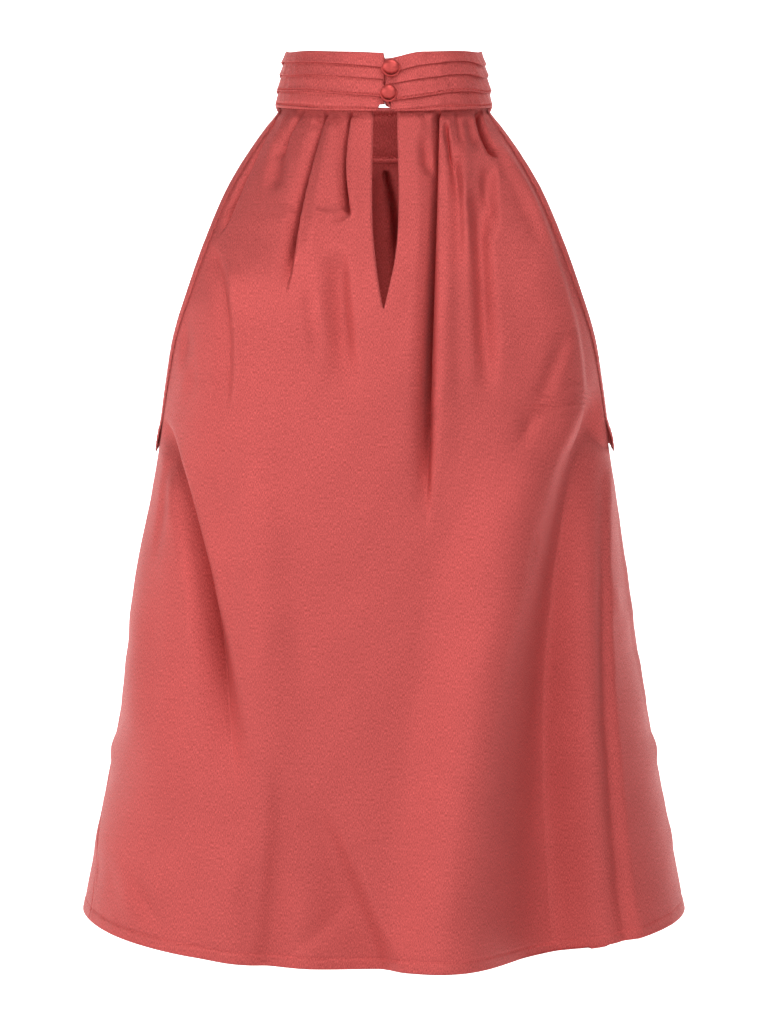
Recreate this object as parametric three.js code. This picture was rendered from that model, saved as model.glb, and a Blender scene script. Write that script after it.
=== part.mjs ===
import * as THREE from "three";

// Halter neck top, filled out as if worn, with nobody inside it.
// Lengths are in millimetres. +Z is up, -Y is the wearer's back, +Y the wearer's front.
// The origin is the middle of the neck opening, level with the seam under the neck band at the sides.
// Angles run round the body: 0 at the back centre, 90 degrees at +X, 180 at the front centre.

const WALL = 1.4;
const GAP = 0.3;

// Levels are heights at the side of the body. A ring drops below its level towards the back and front.
const TOP_LEVEL = 8;
const SEAM_LEVEL = 1;
const UNDERARM_LEVEL = -221;
const HEM_LEVEL = -527;
const HEM_WIDTH = 7;
const KEYHOLE_END_LEVEL = -122;
const ROUND_LEVEL = -212;

const SEAM_DROP_BACK = 5;
const SEAM_DROP_FRONT = 39;
const HEM_DROP_BACK = 21;
const HEM_DROP_FRONT = 18;

// Outer sizes of the body at each level. half is the outline's half width, ring the half width
// of the whole body, which stands wider than the cloth beside the armholes.
const BODY = [
  { level: 8, half: 66.6, ring: 66.9, back: 48.3, front: 48.3 },
  { level: -1, half: 67.6, ring: 68.3, back: 49.0, front: 49.0 },
  { level: -6, half: 71.0, ring: 72.8, back: 51.2, front: 51.0 },
  { level: -12, half: 76.2, ring: 79.2, back: 54.5, front: 54.0 },
  { level: -32, half: 90.2, ring: 98.0, back: 64.0, front: 63.0 },
  { level: -53, half: 102.2, ring: 113.4, back: 73.0, front: 74.0 },
  { level: -84, half: 115.1, ring: 129.0, back: 84.0, front: 88.0 },
  { level: -115, half: 126.1, ring: 138.4, back: 92.5, front: 99.0 },
  { level: -146, half: 135.9, ring: 143.0, back: 98.0, front: 107.0 },
  { level: -178, half: 141.6, ring: 145.4, back: 102.0, front: 112.0 },
  { level: -210, half: 146.4, ring: 147.2, back: 105.0, front: 114.5 },
  { level: -221, half: 147.9, ring: 147.9, back: 105.8, front: 114.8 },
  { level: -231, half: 149.4, ring: 149.4, back: 106.5, front: 115.0 },
  { level: -284, half: 157.6, ring: 157.6, back: 110.0, front: 115.5 },
  { level: -369, half: 169.8, ring: 169.8, back: 115.0, front: 117.0 },
  { level: -454, half: 185.4, ring: 185.4, back: 120.0, front: 120.5 },
  { level: -527, half: 199.4, ring: 199.4, back: 125.0, front: 124.0 },
];

// How far in from the outline the front's armhole edges lie at the widest of the armhole.
const FRONT_INSET = 7;

// How far the body is squared off, flatter at its back and front than an ellipse.
const FLATNESS = 0.28;

// The left side seam swings onto the back over the last part of its length.
const SWING_START_LEVEL = -420;
const SWING_DEPTH = 33;

// Keyhole edges below the neck band, at each height.
const KEYHOLE = [
  { z: 10, left: -6.6, right: 8.4 },
  { z: -20, left: -7.2, right: 8.6 },
  { z: -55, left: -7.6, right: 9.4 },
  { z: -80, left: -7.0, right: 8.8 },
  { z: -100, left: -5.2, right: 6.6 },
  { z: -120, left: -2.4, right: 2.4 },
  { z: -131, left: -0.2, right: -0.2 },
];

// Folds of the back. Each runs down through three points, x at z. left and right are its half
// widths at the top, leftFoot and rightFoot at its foot. start, middle and end are its heights, a
// valley below zero. softTop and softFoot are the lengths over which it dies away at its ends.
// crisp goes from 0 for a rounded fold to 1 for one with a sharp line.
const BACK_FOLDS = [
  { x0: -68, z0: -6, x1: -84, z1: -38, x2: -105, z2: -83, left: 8, right: 4.2, leftFoot: 11, rightFoot: 4.2,
    start: -2.6, middle: -4.2, end: -3.4, softTop: 3, softFoot: 12, crisp: 0.5 },
  { x0: -50, z0: -6, x1: -58, z1: -16, x2: -67, z2: -36, left: 10, right: 4.2, leftFoot: 8, rightFoot: 4.2,
    start: -2.6, middle: -3.8, end: -2.4, softTop: 2, softFoot: 14, crisp: 0.5 },
  { x0: -66, z0: -22, x1: -69, z1: -38, x2: -73, z2: -60, left: 7, right: 8, leftFoot: 8, rightFoot: 9,
    start: -1.8, middle: -2.8, end: -1.6, softTop: 8, softFoot: 14, crisp: 0 },
  { x0: -35, z0: -6, x1: -49.5, z1: -56, x2: -63, z2: -124, left: 8, right: 4.2, leftFoot: 12, rightFoot: 4.2,
    start: -3, middle: -5.4, end: -3.6, softTop: 2, softFoot: 40, crisp: 0.5 },
  { x0: -33, z0: -8, x1: -43, z1: -62, x2: -50, z2: -112, left: 4.2, right: 8, leftFoot: 9, rightFoot: 12,
    start: 1.2, middle: 2.6, end: 2, softTop: 6, softFoot: 34, crisp: 0 },
  { x0: -19.5, z0: -6, x1: -23.8, z1: -36, x2: -22, z2: -71, left: 9, right: 4.2, leftFoot: 6, rightFoot: 4.2,
    start: -2.8, middle: -4.4, end: -3.6, softTop: 2, softFoot: 6, crisp: 0.5 },
  { x0: -34, z0: -96, x1: -35, z1: -108, x2: -35, z2: -124, left: 10, right: 15, leftFoot: 12, rightFoot: 14,
    start: -1.2, middle: -2, end: -1.2, softTop: 10, softFoot: 14, crisp: 0 },
  { x0: 24, z0: -22, x1: 27, z1: -32, x2: 32, z2: -43, left: 5, right: 5, leftFoot: 6, rightFoot: 4.2,
    start: -1.8, middle: -3, end: -2.4, softTop: 8, softFoot: 3, crisp: 0.1 },
  { x0: 36, z0: -6, x1: 33.2, z1: -110, x2: 26, z2: -276, left: 9, right: 4.2, leftFoot: 16, rightFoot: 7,
    start: -3.6, middle: -8, end: -4, softTop: 2, softFoot: 90, crisp: 0.45 },
  { x0: 39, z0: -6, x1: 38.5, z1: -110, x2: 34, z2: -250, left: 4.2, right: 7, leftFoot: 8, rightFoot: 14,
    start: 1.2, middle: 2.8, end: 2, softTop: 6, softFoot: 80, crisp: 0 },
  { x0: 38, z0: -12, x1: 41, z1: -29, x2: 45, z2: -45, left: 4.2, right: 5, leftFoot: 4.2, rightFoot: 6,
    start: -1.6, middle: -3.4, end: -2, softTop: 4, softFoot: 9, crisp: 0.4 },
  { x0: 45, z0: -22, x1: 46, z1: -42, x2: 48, z2: -64, left: 5, right: 4.2, leftFoot: 6, rightFoot: 4.2,
    start: -1.4, middle: -2.4, end: -1.2, softTop: 8, softFoot: 14, crisp: 0 },
  { x0: 46.5, z0: -6, x1: 49, z1: -18, x2: 49.5, z2: -36, left: 4.2, right: 4.2, leftFoot: 4.2, rightFoot: 4.2,
    start: -2, middle: -2.4, end: -1.4, softTop: 2, softFoot: 10, crisp: 0.4 },
  { x0: 49, z0: -6, x1: 51, z1: -60, x2: 54, z2: -116, left: 4.2, right: 9, leftFoot: 4.2, rightFoot: 12,
    start: 1.6, middle: 3.6, end: 2.4, softTop: 4, softFoot: 32, crisp: 0.35 },
  { x0: 54, z0: -6, x1: 57, z1: -18, x2: 60, z2: -32, left: 5, right: 5, leftFoot: 6, rightFoot: 6,
    start: -1.2, middle: -2.2, end: -1.2, softTop: 3, softFoot: 12, crisp: 0 },
  { x0: 57, z0: -48, x1: 62, z1: -96, x2: 66, z2: -196, left: 9, right: 8, leftFoot: 12, rightFoot: 10,
    start: -3.2, middle: -5.8, end: -4, softTop: 18, softFoot: 50, crisp: 0.05 },
  { x0: 61.5, z0: -6, x1: 66, z1: -20, x2: 72.5, z2: -32, left: 4.2, right: 4.5, leftFoot: 4.2, rightFoot: 6,
    start: -3, middle: -6, end: -3.6, softTop: 3, softFoot: 4, crisp: 0.5 },
  { x0: 67, z0: -36, x1: 67, z1: -56, x2: 65, z2: -94, left: 8, right: 7, leftFoot: 9, rightFoot: 9,
    start: -2.8, middle: -4.6, end: -2.8, softTop: 10, softFoot: 28, crisp: 0 },
  { x0: 75, z0: -20, x1: 92, z1: -52, x2: 116, z2: -104, left: 10, right: 6, leftFoot: 13, rightFoot: 7,
    start: 2.2, middle: 5, end: 3.2, softTop: 10, softFoot: 24, crisp: 0.25 },
  { x0: 115, z0: -140, x1: 104, z1: -176, x2: 84, z2: -224, left: 9, right: 6, leftFoot: 9, rightFoot: 6,
    start: -1.8, middle: -2.8, end: -1.8, softTop: 16, softFoot: 22, crisp: 0.15 },
  { x0: -112, z0: -88, x1: -101, z1: -124, x2: -106, z2: -214, left: 12, right: 4.2, leftFoot: 12, rightFoot: 6,
    start: -2.2, middle: -3.2, end: -2, softTop: 8, softFoot: 40, crisp: 0.3 },
  { x0: -99, z0: -96, x1: -96, z1: -140, x2: -97, z2: -214, left: 5, right: 9, leftFoot: 7, rightFoot: 12,
    start: 1.4, middle: 2.4, end: 1.4, softTop: 14, softFoot: 46, crisp: 0 },
  { x0: -134, z0: -126, x1: -128, z1: -150, x2: -126, z2: -196, left: 6, right: 7, leftFoot: 7, rightFoot: 8,
    start: -1.4, middle: -2.2, end: -1.2, softTop: 14, softFoot: 24, crisp: 0.05 },
  { x0: -143, z0: -206, x1: -120, z1: -300, x2: -97, z2: -456, left: 10, right: 10, leftFoot: 24, rightFoot: 16,
    start: -6, middle: -10, end: -6, softTop: 28, softFoot: 90, crisp: 0.25 },
  { x0: -92, z0: -170, x1: -88, z1: -300, x2: -82, z2: -470, left: 34, right: 16, leftFoot: 22, rightFoot: 30,
    start: 2, middle: 5.5, end: 3, softTop: 60, softFoot: 110, crisp: 0 },
  { x0: -158, z0: -250, x1: -158, z1: -330, x2: -162, z2: -430, left: 12, right: 14, leftFoot: 18, rightFoot: 18,
    start: 1.5, middle: 3.5, end: 2, softTop: 40, softFoot: 60, crisp: 0 },
  { x0: -65, z0: -400, x1: -67, z1: -470, x2: -74, z2: -548, left: 9, right: 26, leftFoot: 12, rightFoot: 28,
    start: -1.5, middle: -4.5, end: -5, softTop: 50, softFoot: 0, crisp: 0.1 },
  { x0: -100, z0: -450, x1: -98, z1: -500, x2: -96, z2: -548, left: 24, right: 18, leftFoot: 24, rightFoot: 18,
    start: 1, middle: 3, end: 4, softTop: 50, softFoot: 0, crisp: 0 },
  { x0: 84, z0: -60, x1: 112, z1: -180, x2: 106, z2: -250, left: 20, right: 12, leftFoot: 24, rightFoot: 10,
    start: 0.5, middle: 2, end: 3, softTop: 60, softFoot: 60, crisp: 0 },
  { x0: 100, z0: -200, x1: 70, z1: -350, x2: 42, z2: -548, left: 48, right: 30, leftFoot: 46, rightFoot: 66,
    start: 6, middle: 12, end: 14.5, softTop: 60, softFoot: 0, crisp: 0.15 },
  { x0: 144, z0: -176, x1: 123, z1: -300, x2: 121, z2: -548, left: 16, right: 13, leftFoot: 78, rightFoot: 46,
    start: -6, middle: -19, end: -25, softTop: 46, softFoot: 0, crisp: 0.3 },
  { x0: 150, z0: -236, x1: 150, z1: -380, x2: 152, z2: -548, left: 28, right: 12, leftFoot: 44, rightFoot: 40,
    start: -2.5, middle: -6.5, end: -9, softTop: 60, softFoot: 0, crisp: 0 },
  { x0: 146, z0: -230, x1: 149, z1: -350, x2: 167, z2: -534, left: 8, right: 4.2, leftFoot: 12, rightFoot: 4.6,
    start: -2.6, middle: -4.5, end: -5.5, softTop: 24, softFoot: 40, crisp: 0.4 },
];

// Folds of the front, which the photograph hides: pleats of the same kind from the neck band.
const FRONT_FOLDS = [
  { x0: 5, z0: -40, x1: 9, z1: -66, x2: 7, z2: -130, left: 8, right: 5, leftFoot: 11, rightFoot: 5,
    start: 3.4, middle: 5, end: 2.4, softTop: 3, softFoot: 60, crisp: 0.3 },
  { x0: 17, z0: -36, x1: 21, z1: -100, x2: 22, z2: -250, left: 7, right: 5, leftFoot: 14, rightFoot: 8,
    start: -4, middle: -6.4, end: -3, softTop: 3, softFoot: 90, crisp: 0.4 },
  { x0: 31, z0: -32, x1: 42, z1: -84, x2: 52, z2: -160, left: 5, right: 8, leftFoot: 5, rightFoot: 14,
    start: -4, middle: -5.2, end: -3, softTop: 3, softFoot: 50, crisp: 0.45 },
  { x0: 38, z0: -30, x1: 51, z1: -84, x2: 64, z2: -170, left: 6, right: 8, leftFoot: 12, rightFoot: 16,
    start: 2.4, middle: 3.6, end: 2.4, softTop: 3, softFoot: 56, crisp: 0 },
  { x0: 52, z0: -20, x1: 70, z1: -70, x2: 90, z2: -150, left: 5, right: 8, leftFoot: 5, rightFoot: 14,
    start: -4, middle: -5, end: -3, softTop: 3, softFoot: 46, crisp: 0.45 },
  { x0: -9, z0: -38, x1: -12, z1: -96, x2: -14, z2: -214, left: 5, right: 6, leftFoot: 7, rightFoot: 12,
    start: -4, middle: -5.8, end: -3, softTop: 3, softFoot: 70, crisp: 0.4 },
  { x0: -24, z0: -35, x1: -31, z1: -92, x2: -36, z2: -186, left: 8, right: 5, leftFoot: 13, rightFoot: 5,
    start: -3.6, middle: -5.2, end: -3, softTop: 3, softFoot: 56, crisp: 0.45 },
  { x0: -32, z0: -32, x1: -44, z1: -90, x2: -50, z2: -190, left: 7, right: 6, leftFoot: 14, rightFoot: 12,
    start: 2.4, middle: 3.4, end: 2, softTop: 3, softFoot: 60, crisp: 0 },
  { x0: -44, z0: -26, x1: -60, z1: -76, x2: -78, z2: -150, left: 8, right: 5, leftFoot: 13, rightFoot: 5,
    start: -4.2, middle: -5, end: -3, softTop: 3, softFoot: 44, crisp: 0.45 },
  { x0: -58, z0: -14, x1: -78, z1: -62, x2: -98, z2: -130, left: 7, right: 5, leftFoot: 11, rightFoot: 5,
    start: -3.4, middle: -4.2, end: -3, softTop: 3, softFoot: 36, crisp: 0.45 },
  { x0: 120, z0: -220, x1: 112, z1: -350, x2: 118, z2: -548, left: 14, right: 12, leftFoot: 36, rightFoot: 26,
    start: -5, middle: -11, end: -15, softTop: 60, softFoot: 0, crisp: 0.35 },
  { x0: 80, z0: -250, x1: 76, z1: -370, x2: 72, z2: -548, left: 22, right: 16, leftFoot: 36, rightFoot: 34,
    start: 3, middle: 8, end: 10, softTop: 80, softFoot: 0, crisp: 0 },
  { x0: 24, z0: -300, x1: 20, z1: -400, x2: 14, z2: -548, left: 20, right: 14, leftFoot: 34, rightFoot: 26,
    start: -3, middle: -6.5, end: -10, softTop: 80, softFoot: 0, crisp: 0.25 },
  { x0: -34, z0: -280, x1: -40, z1: -390, x2: -44, z2: -548, left: 20, right: 22, leftFoot: 32, rightFoot: 35,
    start: 3, middle: 6, end: 8, softTop: 80, softFoot: 0, crisp: 0 },
  { x0: -86, z0: -240, x1: -94, z1: -360, x2: -104, z2: -548, left: 18, right: 12, leftFoot: 32, rightFoot: 24,
    start: -5, middle: -9.5, end: -12, softTop: 70, softFoot: 0, crisp: 0.3 },
  { x0: -132, z0: -250, x1: -142, z1: -370, x2: -156, z2: -548, left: 16, right: 18, leftFoot: 24, rightFoot: 27,
    start: 3, middle: 5, end: 6, softTop: 60, softFoot: 0, crisp: 0 },
  { x0: -118, z0: -120, x1: -122, z1: -170, x2: -128, z2: -230, left: 8, right: 8, leftFoot: 8, rightFoot: 9,
    start: -1.4, middle: -2.4, end: -1.4, softTop: 20, softFoot: 30, crisp: 0.1 },
  { x0: 110, z0: -110, x1: 118, z1: -160, x2: 122, z2: -226, left: 8, right: 8, leftFoot: 9, rightFoot: 9,
    start: -1.4, middle: -2.6, end: -1.4, softTop: 20, softFoot: 30, crisp: 0.1 },
];

// Neck band: half width and half depth of its bottom and top edges, and its height.
const BAND_HALF_BOTTOM = 70.0;
const BAND_HALF_TOP = 63.4;
const BAND_DEPTH_BOTTOM = 51.4;
const BAND_DEPTH_TOP = 48.2;
const BAND_HEIGHT = 36;
const BAND_EXTRA_FRONT = 4;
const BAND_INSIDE = -0.9;
const BUTT_LINE = 0.6;

// Outer profile of the band from its bottom edge up. Each tuck hangs over the one below it.
// share is the share of the height, out how far the surface stands out, and ends the gap at the closing.
const BAND_PROFILE = [
  { share: 0.0, out: 1.2, ends: 8.0 },
  { share: 0.14, out: 1.0, ends: 2.1 },
  { share: 0.2, out: 0.9, ends: 2.1 },
  { share: 0.265, out: 0.7, ends: 2.1 },
  { share: 0.275, out: 2.0, ends: 2.1 },
  { share: 0.39, out: 1.5, ends: 2.1 },
  { share: 0.56, out: 0.6, ends: 0.6 },
  { share: 0.57, out: 1.9, ends: 0.6 },
  { share: 0.666, out: 1.3, ends: 2.1 },
  { share: 0.775, out: 0.6, ends: 2.1 },
  { share: 0.785, out: 1.8, ends: 2.1 },
  { share: 0.885, out: 1.25, ends: 2.1 },
  { share: 0.95, out: 0.8, ends: 0.6 },
  { share: 1.0, out: 0.1, ends: 0.6 },
];

const FACING_OUTSIDE = -4.3;
const FACING_INSIDE = -5.3;
const FACING_SHARES = [0.08, 0.52, 0.96];

const clamp01 = (value) => Math.min(1, Math.max(0, value));
const mix = (a, b, t) => a + (b - a) * t;

function smooth(from, to, value) {
  const t = clamp01((value - from) / (to - from));
  return t * t * (3 - 2 * t);
}

// A smooth curve through the named column of a table, read at one value of its key.
function column(rows, key, name, value) {
  const rising = rows[rows.length - 1][key] > rows[0][key];
  const sign = rising ? 1 : -1;
  let i = 0;
  while (i < rows.length - 2 && sign * rows[i + 1][key] < sign * value) i += 1;
  const a = rows[i];
  const b = rows[i + 1];
  const before = rows[Math.max(0, i - 1)];
  const after = rows[Math.min(rows.length - 1, i + 2)];
  const span = b[key] - a[key];
  const t = clamp01((value - a[key]) / span);
  const slopeA = (b[name] - before[name]) / (b[key] - before[key]);
  const slopeB = (after[name] - a[name]) / (after[key] - a[key]);
  const t2 = t * t;
  const t3 = t2 * t;
  return a[name] * (2 * t3 - 3 * t2 + 1) + slopeA * span * (t3 - 2 * t2 + t)
    + b[name] * (3 * t2 - 2 * t3) + slopeB * span * (t3 - t2);
}

const bodyAt = (name, level) => column(BODY, "level", name, level);
const keyholeAt = (name, z) => column(KEYHOLE, "z", name, z);

// Height of the seam under the neck band at an angle, against its height at the sides.
function seamDrop(angle) {
  const c = Math.cos(angle);
  return c > 0 ? -SEAM_DROP_BACK * c : -SEAM_DROP_FRONT * Math.pow(-c, 1.4);
}

function hemDrop(angle) {
  const c = Math.cos(angle);
  return -(c > 0 ? HEM_DROP_BACK : HEM_DROP_FRONT) * Math.pow(Math.abs(c), 1.5);
}

// Half width at which a panel's side edge lies.
function edgeHalf(panel, level) {
  const outline = bodyAt("half", level) - WALL / 2;
  if (panel === "back" || level <= UNDERARM_LEVEL) return outline;
  const t = clamp01((SEAM_LEVEL - level) / (SEAM_LEVEL - UNDERARM_LEVEL));
  return outline - FRONT_INSET * Math.sin(Math.PI * Math.pow(t, 0.8));
}

// Half width of the ring the panels lie on.
const ringHalf = (level) => bodyAt("ring", level) - WALL / 2;

// Angle between a panel's own middle and its side edge.
function edgeAngle(panel, side, level) {
  if (level > UNDERARM_LEVEL) return Math.asin(Math.min(1, edgeHalf(panel, level) / ringHalf(level)));
  const swing = side === "left" ? SWING_DEPTH * smooth(SWING_START_LEVEL, HEM_LEVEL, level) : 0;
  return Math.acos((panel === "back" ? swing : -swing) / bodyAt("back", level));
}

// Point in the middle of the wall, before any fold.
function basePoint(angle, level) {
  const c = Math.cos(angle);
  const depth = bodyAt(c > 0 ? "back" : "front", level) - WALL / 2;
  const fall = clamp01((SEAM_LEVEL - level) / (SEAM_LEVEL - HEM_LEVEL));
  const z = level + mix(seamDrop(angle), hemDrop(angle), fall);
  const flat = FLATNESS * smooth(-12, -110, level);
  return new THREE.Vector3(ringHalf(level) * Math.sin(angle), -depth * c * (1 + flat * (1 - c * c)), z);
}

function outward(angle, level) {
  const step = 0.01;
  const right = basePoint(angle + step, level).sub(basePoint(angle - step, level));
  const down = basePoint(angle, level - 0.8).sub(basePoint(angle, level + 0.8));
  return down.cross(right).normalize();
}

// Height of one fold at a point of the panel.
function foldHeight(fold, x, z) {
  const length = fold.z0 - fold.z2;
  const t = (fold.z0 - z) / length;
  if (t <= 0 || (t >= 1 && fold.softFoot > 0)) return 0;
  const m = (fold.z0 - fold.z1) / length;
  const run = Math.min(t, 1.02);
  const path = fold.x0 * ((run - m) * (run - 1)) / m
    + fold.x1 * (run * (run - 1)) / (m * (m - 1))
    + fold.x2 * (run * (run - m)) / (1 - m);
  const away = x - path;
  const width = away < 0 ? mix(fold.left, fold.leftFoot, run) : mix(fold.right, fold.rightFoot, run);
  const share = Math.abs(away) / width;
  if (share >= 1) return 0;
  const soft = 0.5 + 0.5 * Math.cos(Math.PI * share);
  const across = mix(soft, 1 - Math.sin(Math.PI * share / 2), fold.crisp);
  const along = run < 0.5 ? mix(fold.start, fold.middle, run * 2) : mix(fold.middle, fold.end, run * 2 - 1);
  const fadeTop = smooth(0, fold.softTop, fold.z0 - z);
  const fadeFoot = fold.softFoot > 0 ? smooth(0, fold.softFoot, z - fold.z2) : 1;
  return along * across * fadeTop * fadeFoot;
}

// Folds die away under the neck band and beside the sewn edges.
function foldSum(folds, point, level, edgeRoom) {
  let sum = 0;
  for (const fold of folds) sum += foldHeight(fold, point.x, point.z);
  return sum * smooth(-2, -15, level) * smooth(4, 15, edgeRoom);
}

// One closed solid from an outer and an inner sheet of points that share their faces.
function wallSolid(outer, inner, faces) {
  const count = outer.length;
  const directed = new Set();
  for (const face of faces) {
    for (let k = 0; k < 4; k += 1) directed.add(face[k] + "_" + face[(k + 1) % 4]);
  }
  const quads = [];
  for (const [a, b, c, d] of faces) {
    quads.push([a, b, c, d], [d + count, c + count, b + count, a + count]);
    for (const [from, to] of [[a, b], [b, c], [c, d], [d, a]]) {
      if (!directed.has(to + "_" + from)) quads.push([to, from, from + count, to + count]);
    }
  }
  return quadSolid([...outer, ...inner], quads);
}

function quadSolid(points, quads) {
  const flat = [];
  for (const point of points) flat.push(point.x, point.y, point.z);
  const index = [];
  for (const [a, b, c, d] of quads) index.push(a, b, c, a, c, d);
  const geometry = new THREE.BufferGeometry();
  geometry.setAttribute("position", new THREE.Float32BufferAttribute(flat, 3));
  geometry.setIndex(index);
  geometry.computeVertexNormals();
  return geometry;
}

function steps(from, to, count) {
  const values = [];
  for (let i = 1; i <= count; i += 1) values.push(mix(from, to, i / count));
  return values;
}

// Rows of a panel from under the neck band to the hem. The last two rows are the turned hem.
function panelLevels(toKeyhole, toUnderarm, toHem) {
  return [
    TOP_LEVEL, -1, -5, -11,
    ...steps(-11, KEYHOLE_END_LEVEL, toKeyhole),
    ...steps(KEYHOLE_END_LEVEL, ROUND_LEVEL, toUnderarm),
    ...steps(ROUND_LEVEL, UNDERARM_LEVEL, 2),
    ...steps(UNDERARM_LEVEL, HEM_LEVEL + HEM_WIDTH + 1, toHem),
    HEM_LEVEL + HEM_WIDTH,
    HEM_LEVEL,
  ];
}

function panelWall(folds, angle, level, edgeRoom) {
  const point = basePoint(angle, level);
  const normal = outward(angle, level);
  const height = foldSum(folds, point, level, edgeRoom);
  const turned = level <= HEM_LEVEL + HEM_WIDTH ? 0.8 : 0;
  return {
    outer: point.clone().addScaledVector(normal, height + WALL / 2),
    inner: point.clone().addScaledVector(normal, height - WALL / 2 - turned),
  };
}

// Angle that keeps half the seam gap clear at a panel's side edge.
const seamAngle = (level) => (level <= UNDERARM_LEVEL ? (GAP * 0.5) / bodyAt("back", level) : 0);

function backPanel(halfColumns) {
  const levels = panelLevels(11, 9, 11);
  const outer = [];
  const inner = [];
  const faces = [];
  const index = [];
  levels.forEach((level, row) => {
    const centre = basePoint(0, level);
    const split = level > KEYHOLE_END_LEVEL + 0.01;
    const half = ringHalf(level);
    const endX = keyholeAt("left", -131);
    const cutLeft = split ? Math.min(keyholeAt("left", centre.z), endX - 0.2) : endX;
    const cutRight = split ? Math.max(keyholeAt("right", centre.z), endX + 0.2) : endX;
    const sides = [
      { from: -edgeAngle("back", "left", level) + seamAngle(level), to: Math.asin(cutLeft / half) },
      { from: Math.asin(cutRight / half), to: edgeAngle("back", "right", level) - seamAngle(level) },
    ];
    index.push([]);
    sides.forEach((side, which) => {
      for (let i = 0; i <= halfColumns; i += 1) {
        if (which === 1 && i === 0 && !split) {
          index[row].push(index[row][halfColumns]);
          continue;
        }
        const angle = mix(side.from, side.to, i / halfColumns);
        const edge = which === 0 ? angle - side.from : side.to - angle;
        const wall = panelWall(BACK_FOLDS, angle, level, edge * bodyAt("back", level));
        index[row].push(outer.length);
        outer.push(wall.outer);
        inner.push(wall.inner);
      }
    });
  });
  for (let row = 0; row < levels.length - 1; row += 1) {
    for (let c = 0; c < 2 * halfColumns + 1; c += 1) {
      if (c === halfColumns) continue;
      faces.push([index[row][c], index[row + 1][c], index[row + 1][c + 1], index[row][c + 1]]);
    }
  }
  return wallSolid(outer, inner, faces);
}

function frontPanel(columns) {
  const levels = panelLevels(8, 8, 11);
  const outer = [];
  const inner = [];
  const faces = [];
  for (const level of levels) {
    const from = Math.PI - edgeAngle("front", "right", level) + seamAngle(level);
    const to = Math.PI + edgeAngle("front", "left", level) - seamAngle(level);
    for (let c = 0; c <= columns; c += 1) {
      const angle = mix(from, to, c / columns);
      const edge = Math.min(angle - from, to - angle) * bodyAt("front", level);
      const wall = panelWall(FRONT_FOLDS, angle, level, edge);
      outer.push(wall.outer);
      inner.push(wall.inner);
    }
  }
  const wide = columns + 1;
  for (let row = 0; row < levels.length - 1; row += 1) {
    for (let c = 0; c < columns; c += 1) {
      const a = row * wide + c;
      faces.push([a, a + wide, a + wide + 1, a + 1]);
    }
  }
  return wallSolid(outer, inner, faces);
}

// Point of the neck band: share of its height, angle round the neck, distance out from its base cone.
function bandPoint(share, angle, out) {
  const half = mix(BAND_HALF_BOTTOM, BAND_HALF_TOP, share);
  const depth = mix(BAND_DEPTH_BOTTOM, BAND_DEPTH_TOP, share);
  const c = Math.cos(angle);
  const s = Math.sin(angle);
  const extra = c < 0 ? -c * BAND_EXTRA_FRONT : 0;
  const normal = new THREE.Vector3(s / half, -c / depth, 0).normalize();
  const bottom = SEAM_LEVEL + seamDrop(angle);
  const nearClosing = Math.max(c - 0.9, 0) * 10;
  const drop = s > 0 ? 4.2 * Math.pow(nearClosing, 3.2) : 0.6 * Math.pow(nearClosing, 6);
  const dip = (drop - 2.2 * smooth(0.2, 0.75, c)) * share;
  const point = new THREE.Vector3(half * s, -depth * c, bottom + share * (BAND_HEIGHT + extra) - dip);
  return point.addScaledVector(normal, out);
}

// Small unevenness of the tuck edges round the neck.
const tuckWave = (angle, row) => 0.25 * Math.sin(angle * 7 + row * 1.7) + 0.2 * Math.sin(angle * 13 + row);

function neckRing(profile, columns, insideOf) {
  const outer = [];
  const inner = [];
  const faces = [];
  profile.forEach((line, row) => {
    const half = mix(BAND_HALF_BOTTOM, BAND_HALF_TOP, line.share);
    const from = Math.asin((BUTT_LINE + line.ends / 2) / half);
    const to = 2 * Math.PI + Math.asin((BUTT_LINE - line.ends / 2) / half);
    for (let c = 0; c <= columns; c += 1) {
      const angle = mix(from, to, c / columns);
      const wave = line.wave ? tuckWave(angle, row) : 0;
      outer.push(bandPoint(line.share, angle, line.out + wave));
      inner.push(bandPoint(line.share, angle, insideOf));
    }
  });
  const wide = columns + 1;
  for (let row = 0; row < profile.length - 1; row += 1) {
    for (let c = 0; c < columns; c += 1) {
      const a = row * wide + c;
      faces.push([a, a + 1, a + wide + 1, a + wide]);
    }
  }
  return wallSolid(outer, inner, faces);
}

function neckBand() {
  const profile = BAND_PROFILE.map((line) => ({ ...line, wave: line.out > 1.25 }));
  return neckRing(profile, 46, BAND_INSIDE);
}

function bandFacing() {
  const profile = FACING_SHARES.map((share) => ({ share, out: FACING_OUTSIDE, ends: share < 0.1 ? 5 : 2.1 }));
  return neckRing(profile, 46, FACING_INSIDE);
}

// Narrow binding folded over an armhole edge: a U in section, swept from neck band to neck band.
const BINDING_LEG = 4.6;
const BINDING_CLOTH = 0.7;

// The legs are shorter by the neck band, and stand off more there and down the armhole.
function bindingSection(level) {
  const leg = BINDING_LEG * mix(1, 0.4, smooth(-22, -11, level));
  const near = WALL / 2 + GAP + 0.45 * smooth(-84, -120, level) + 0.35 * smooth(-30, -12, level);
  const far = near + BINDING_CLOTH;
  const end = -GAP - BINDING_CLOTH;
  return [
    [leg, near], [leg, far], [end, far], [end, -far],
    [leg, -far], [leg, -near], [-GAP, -near], [-GAP, near],
  ];
}

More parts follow.
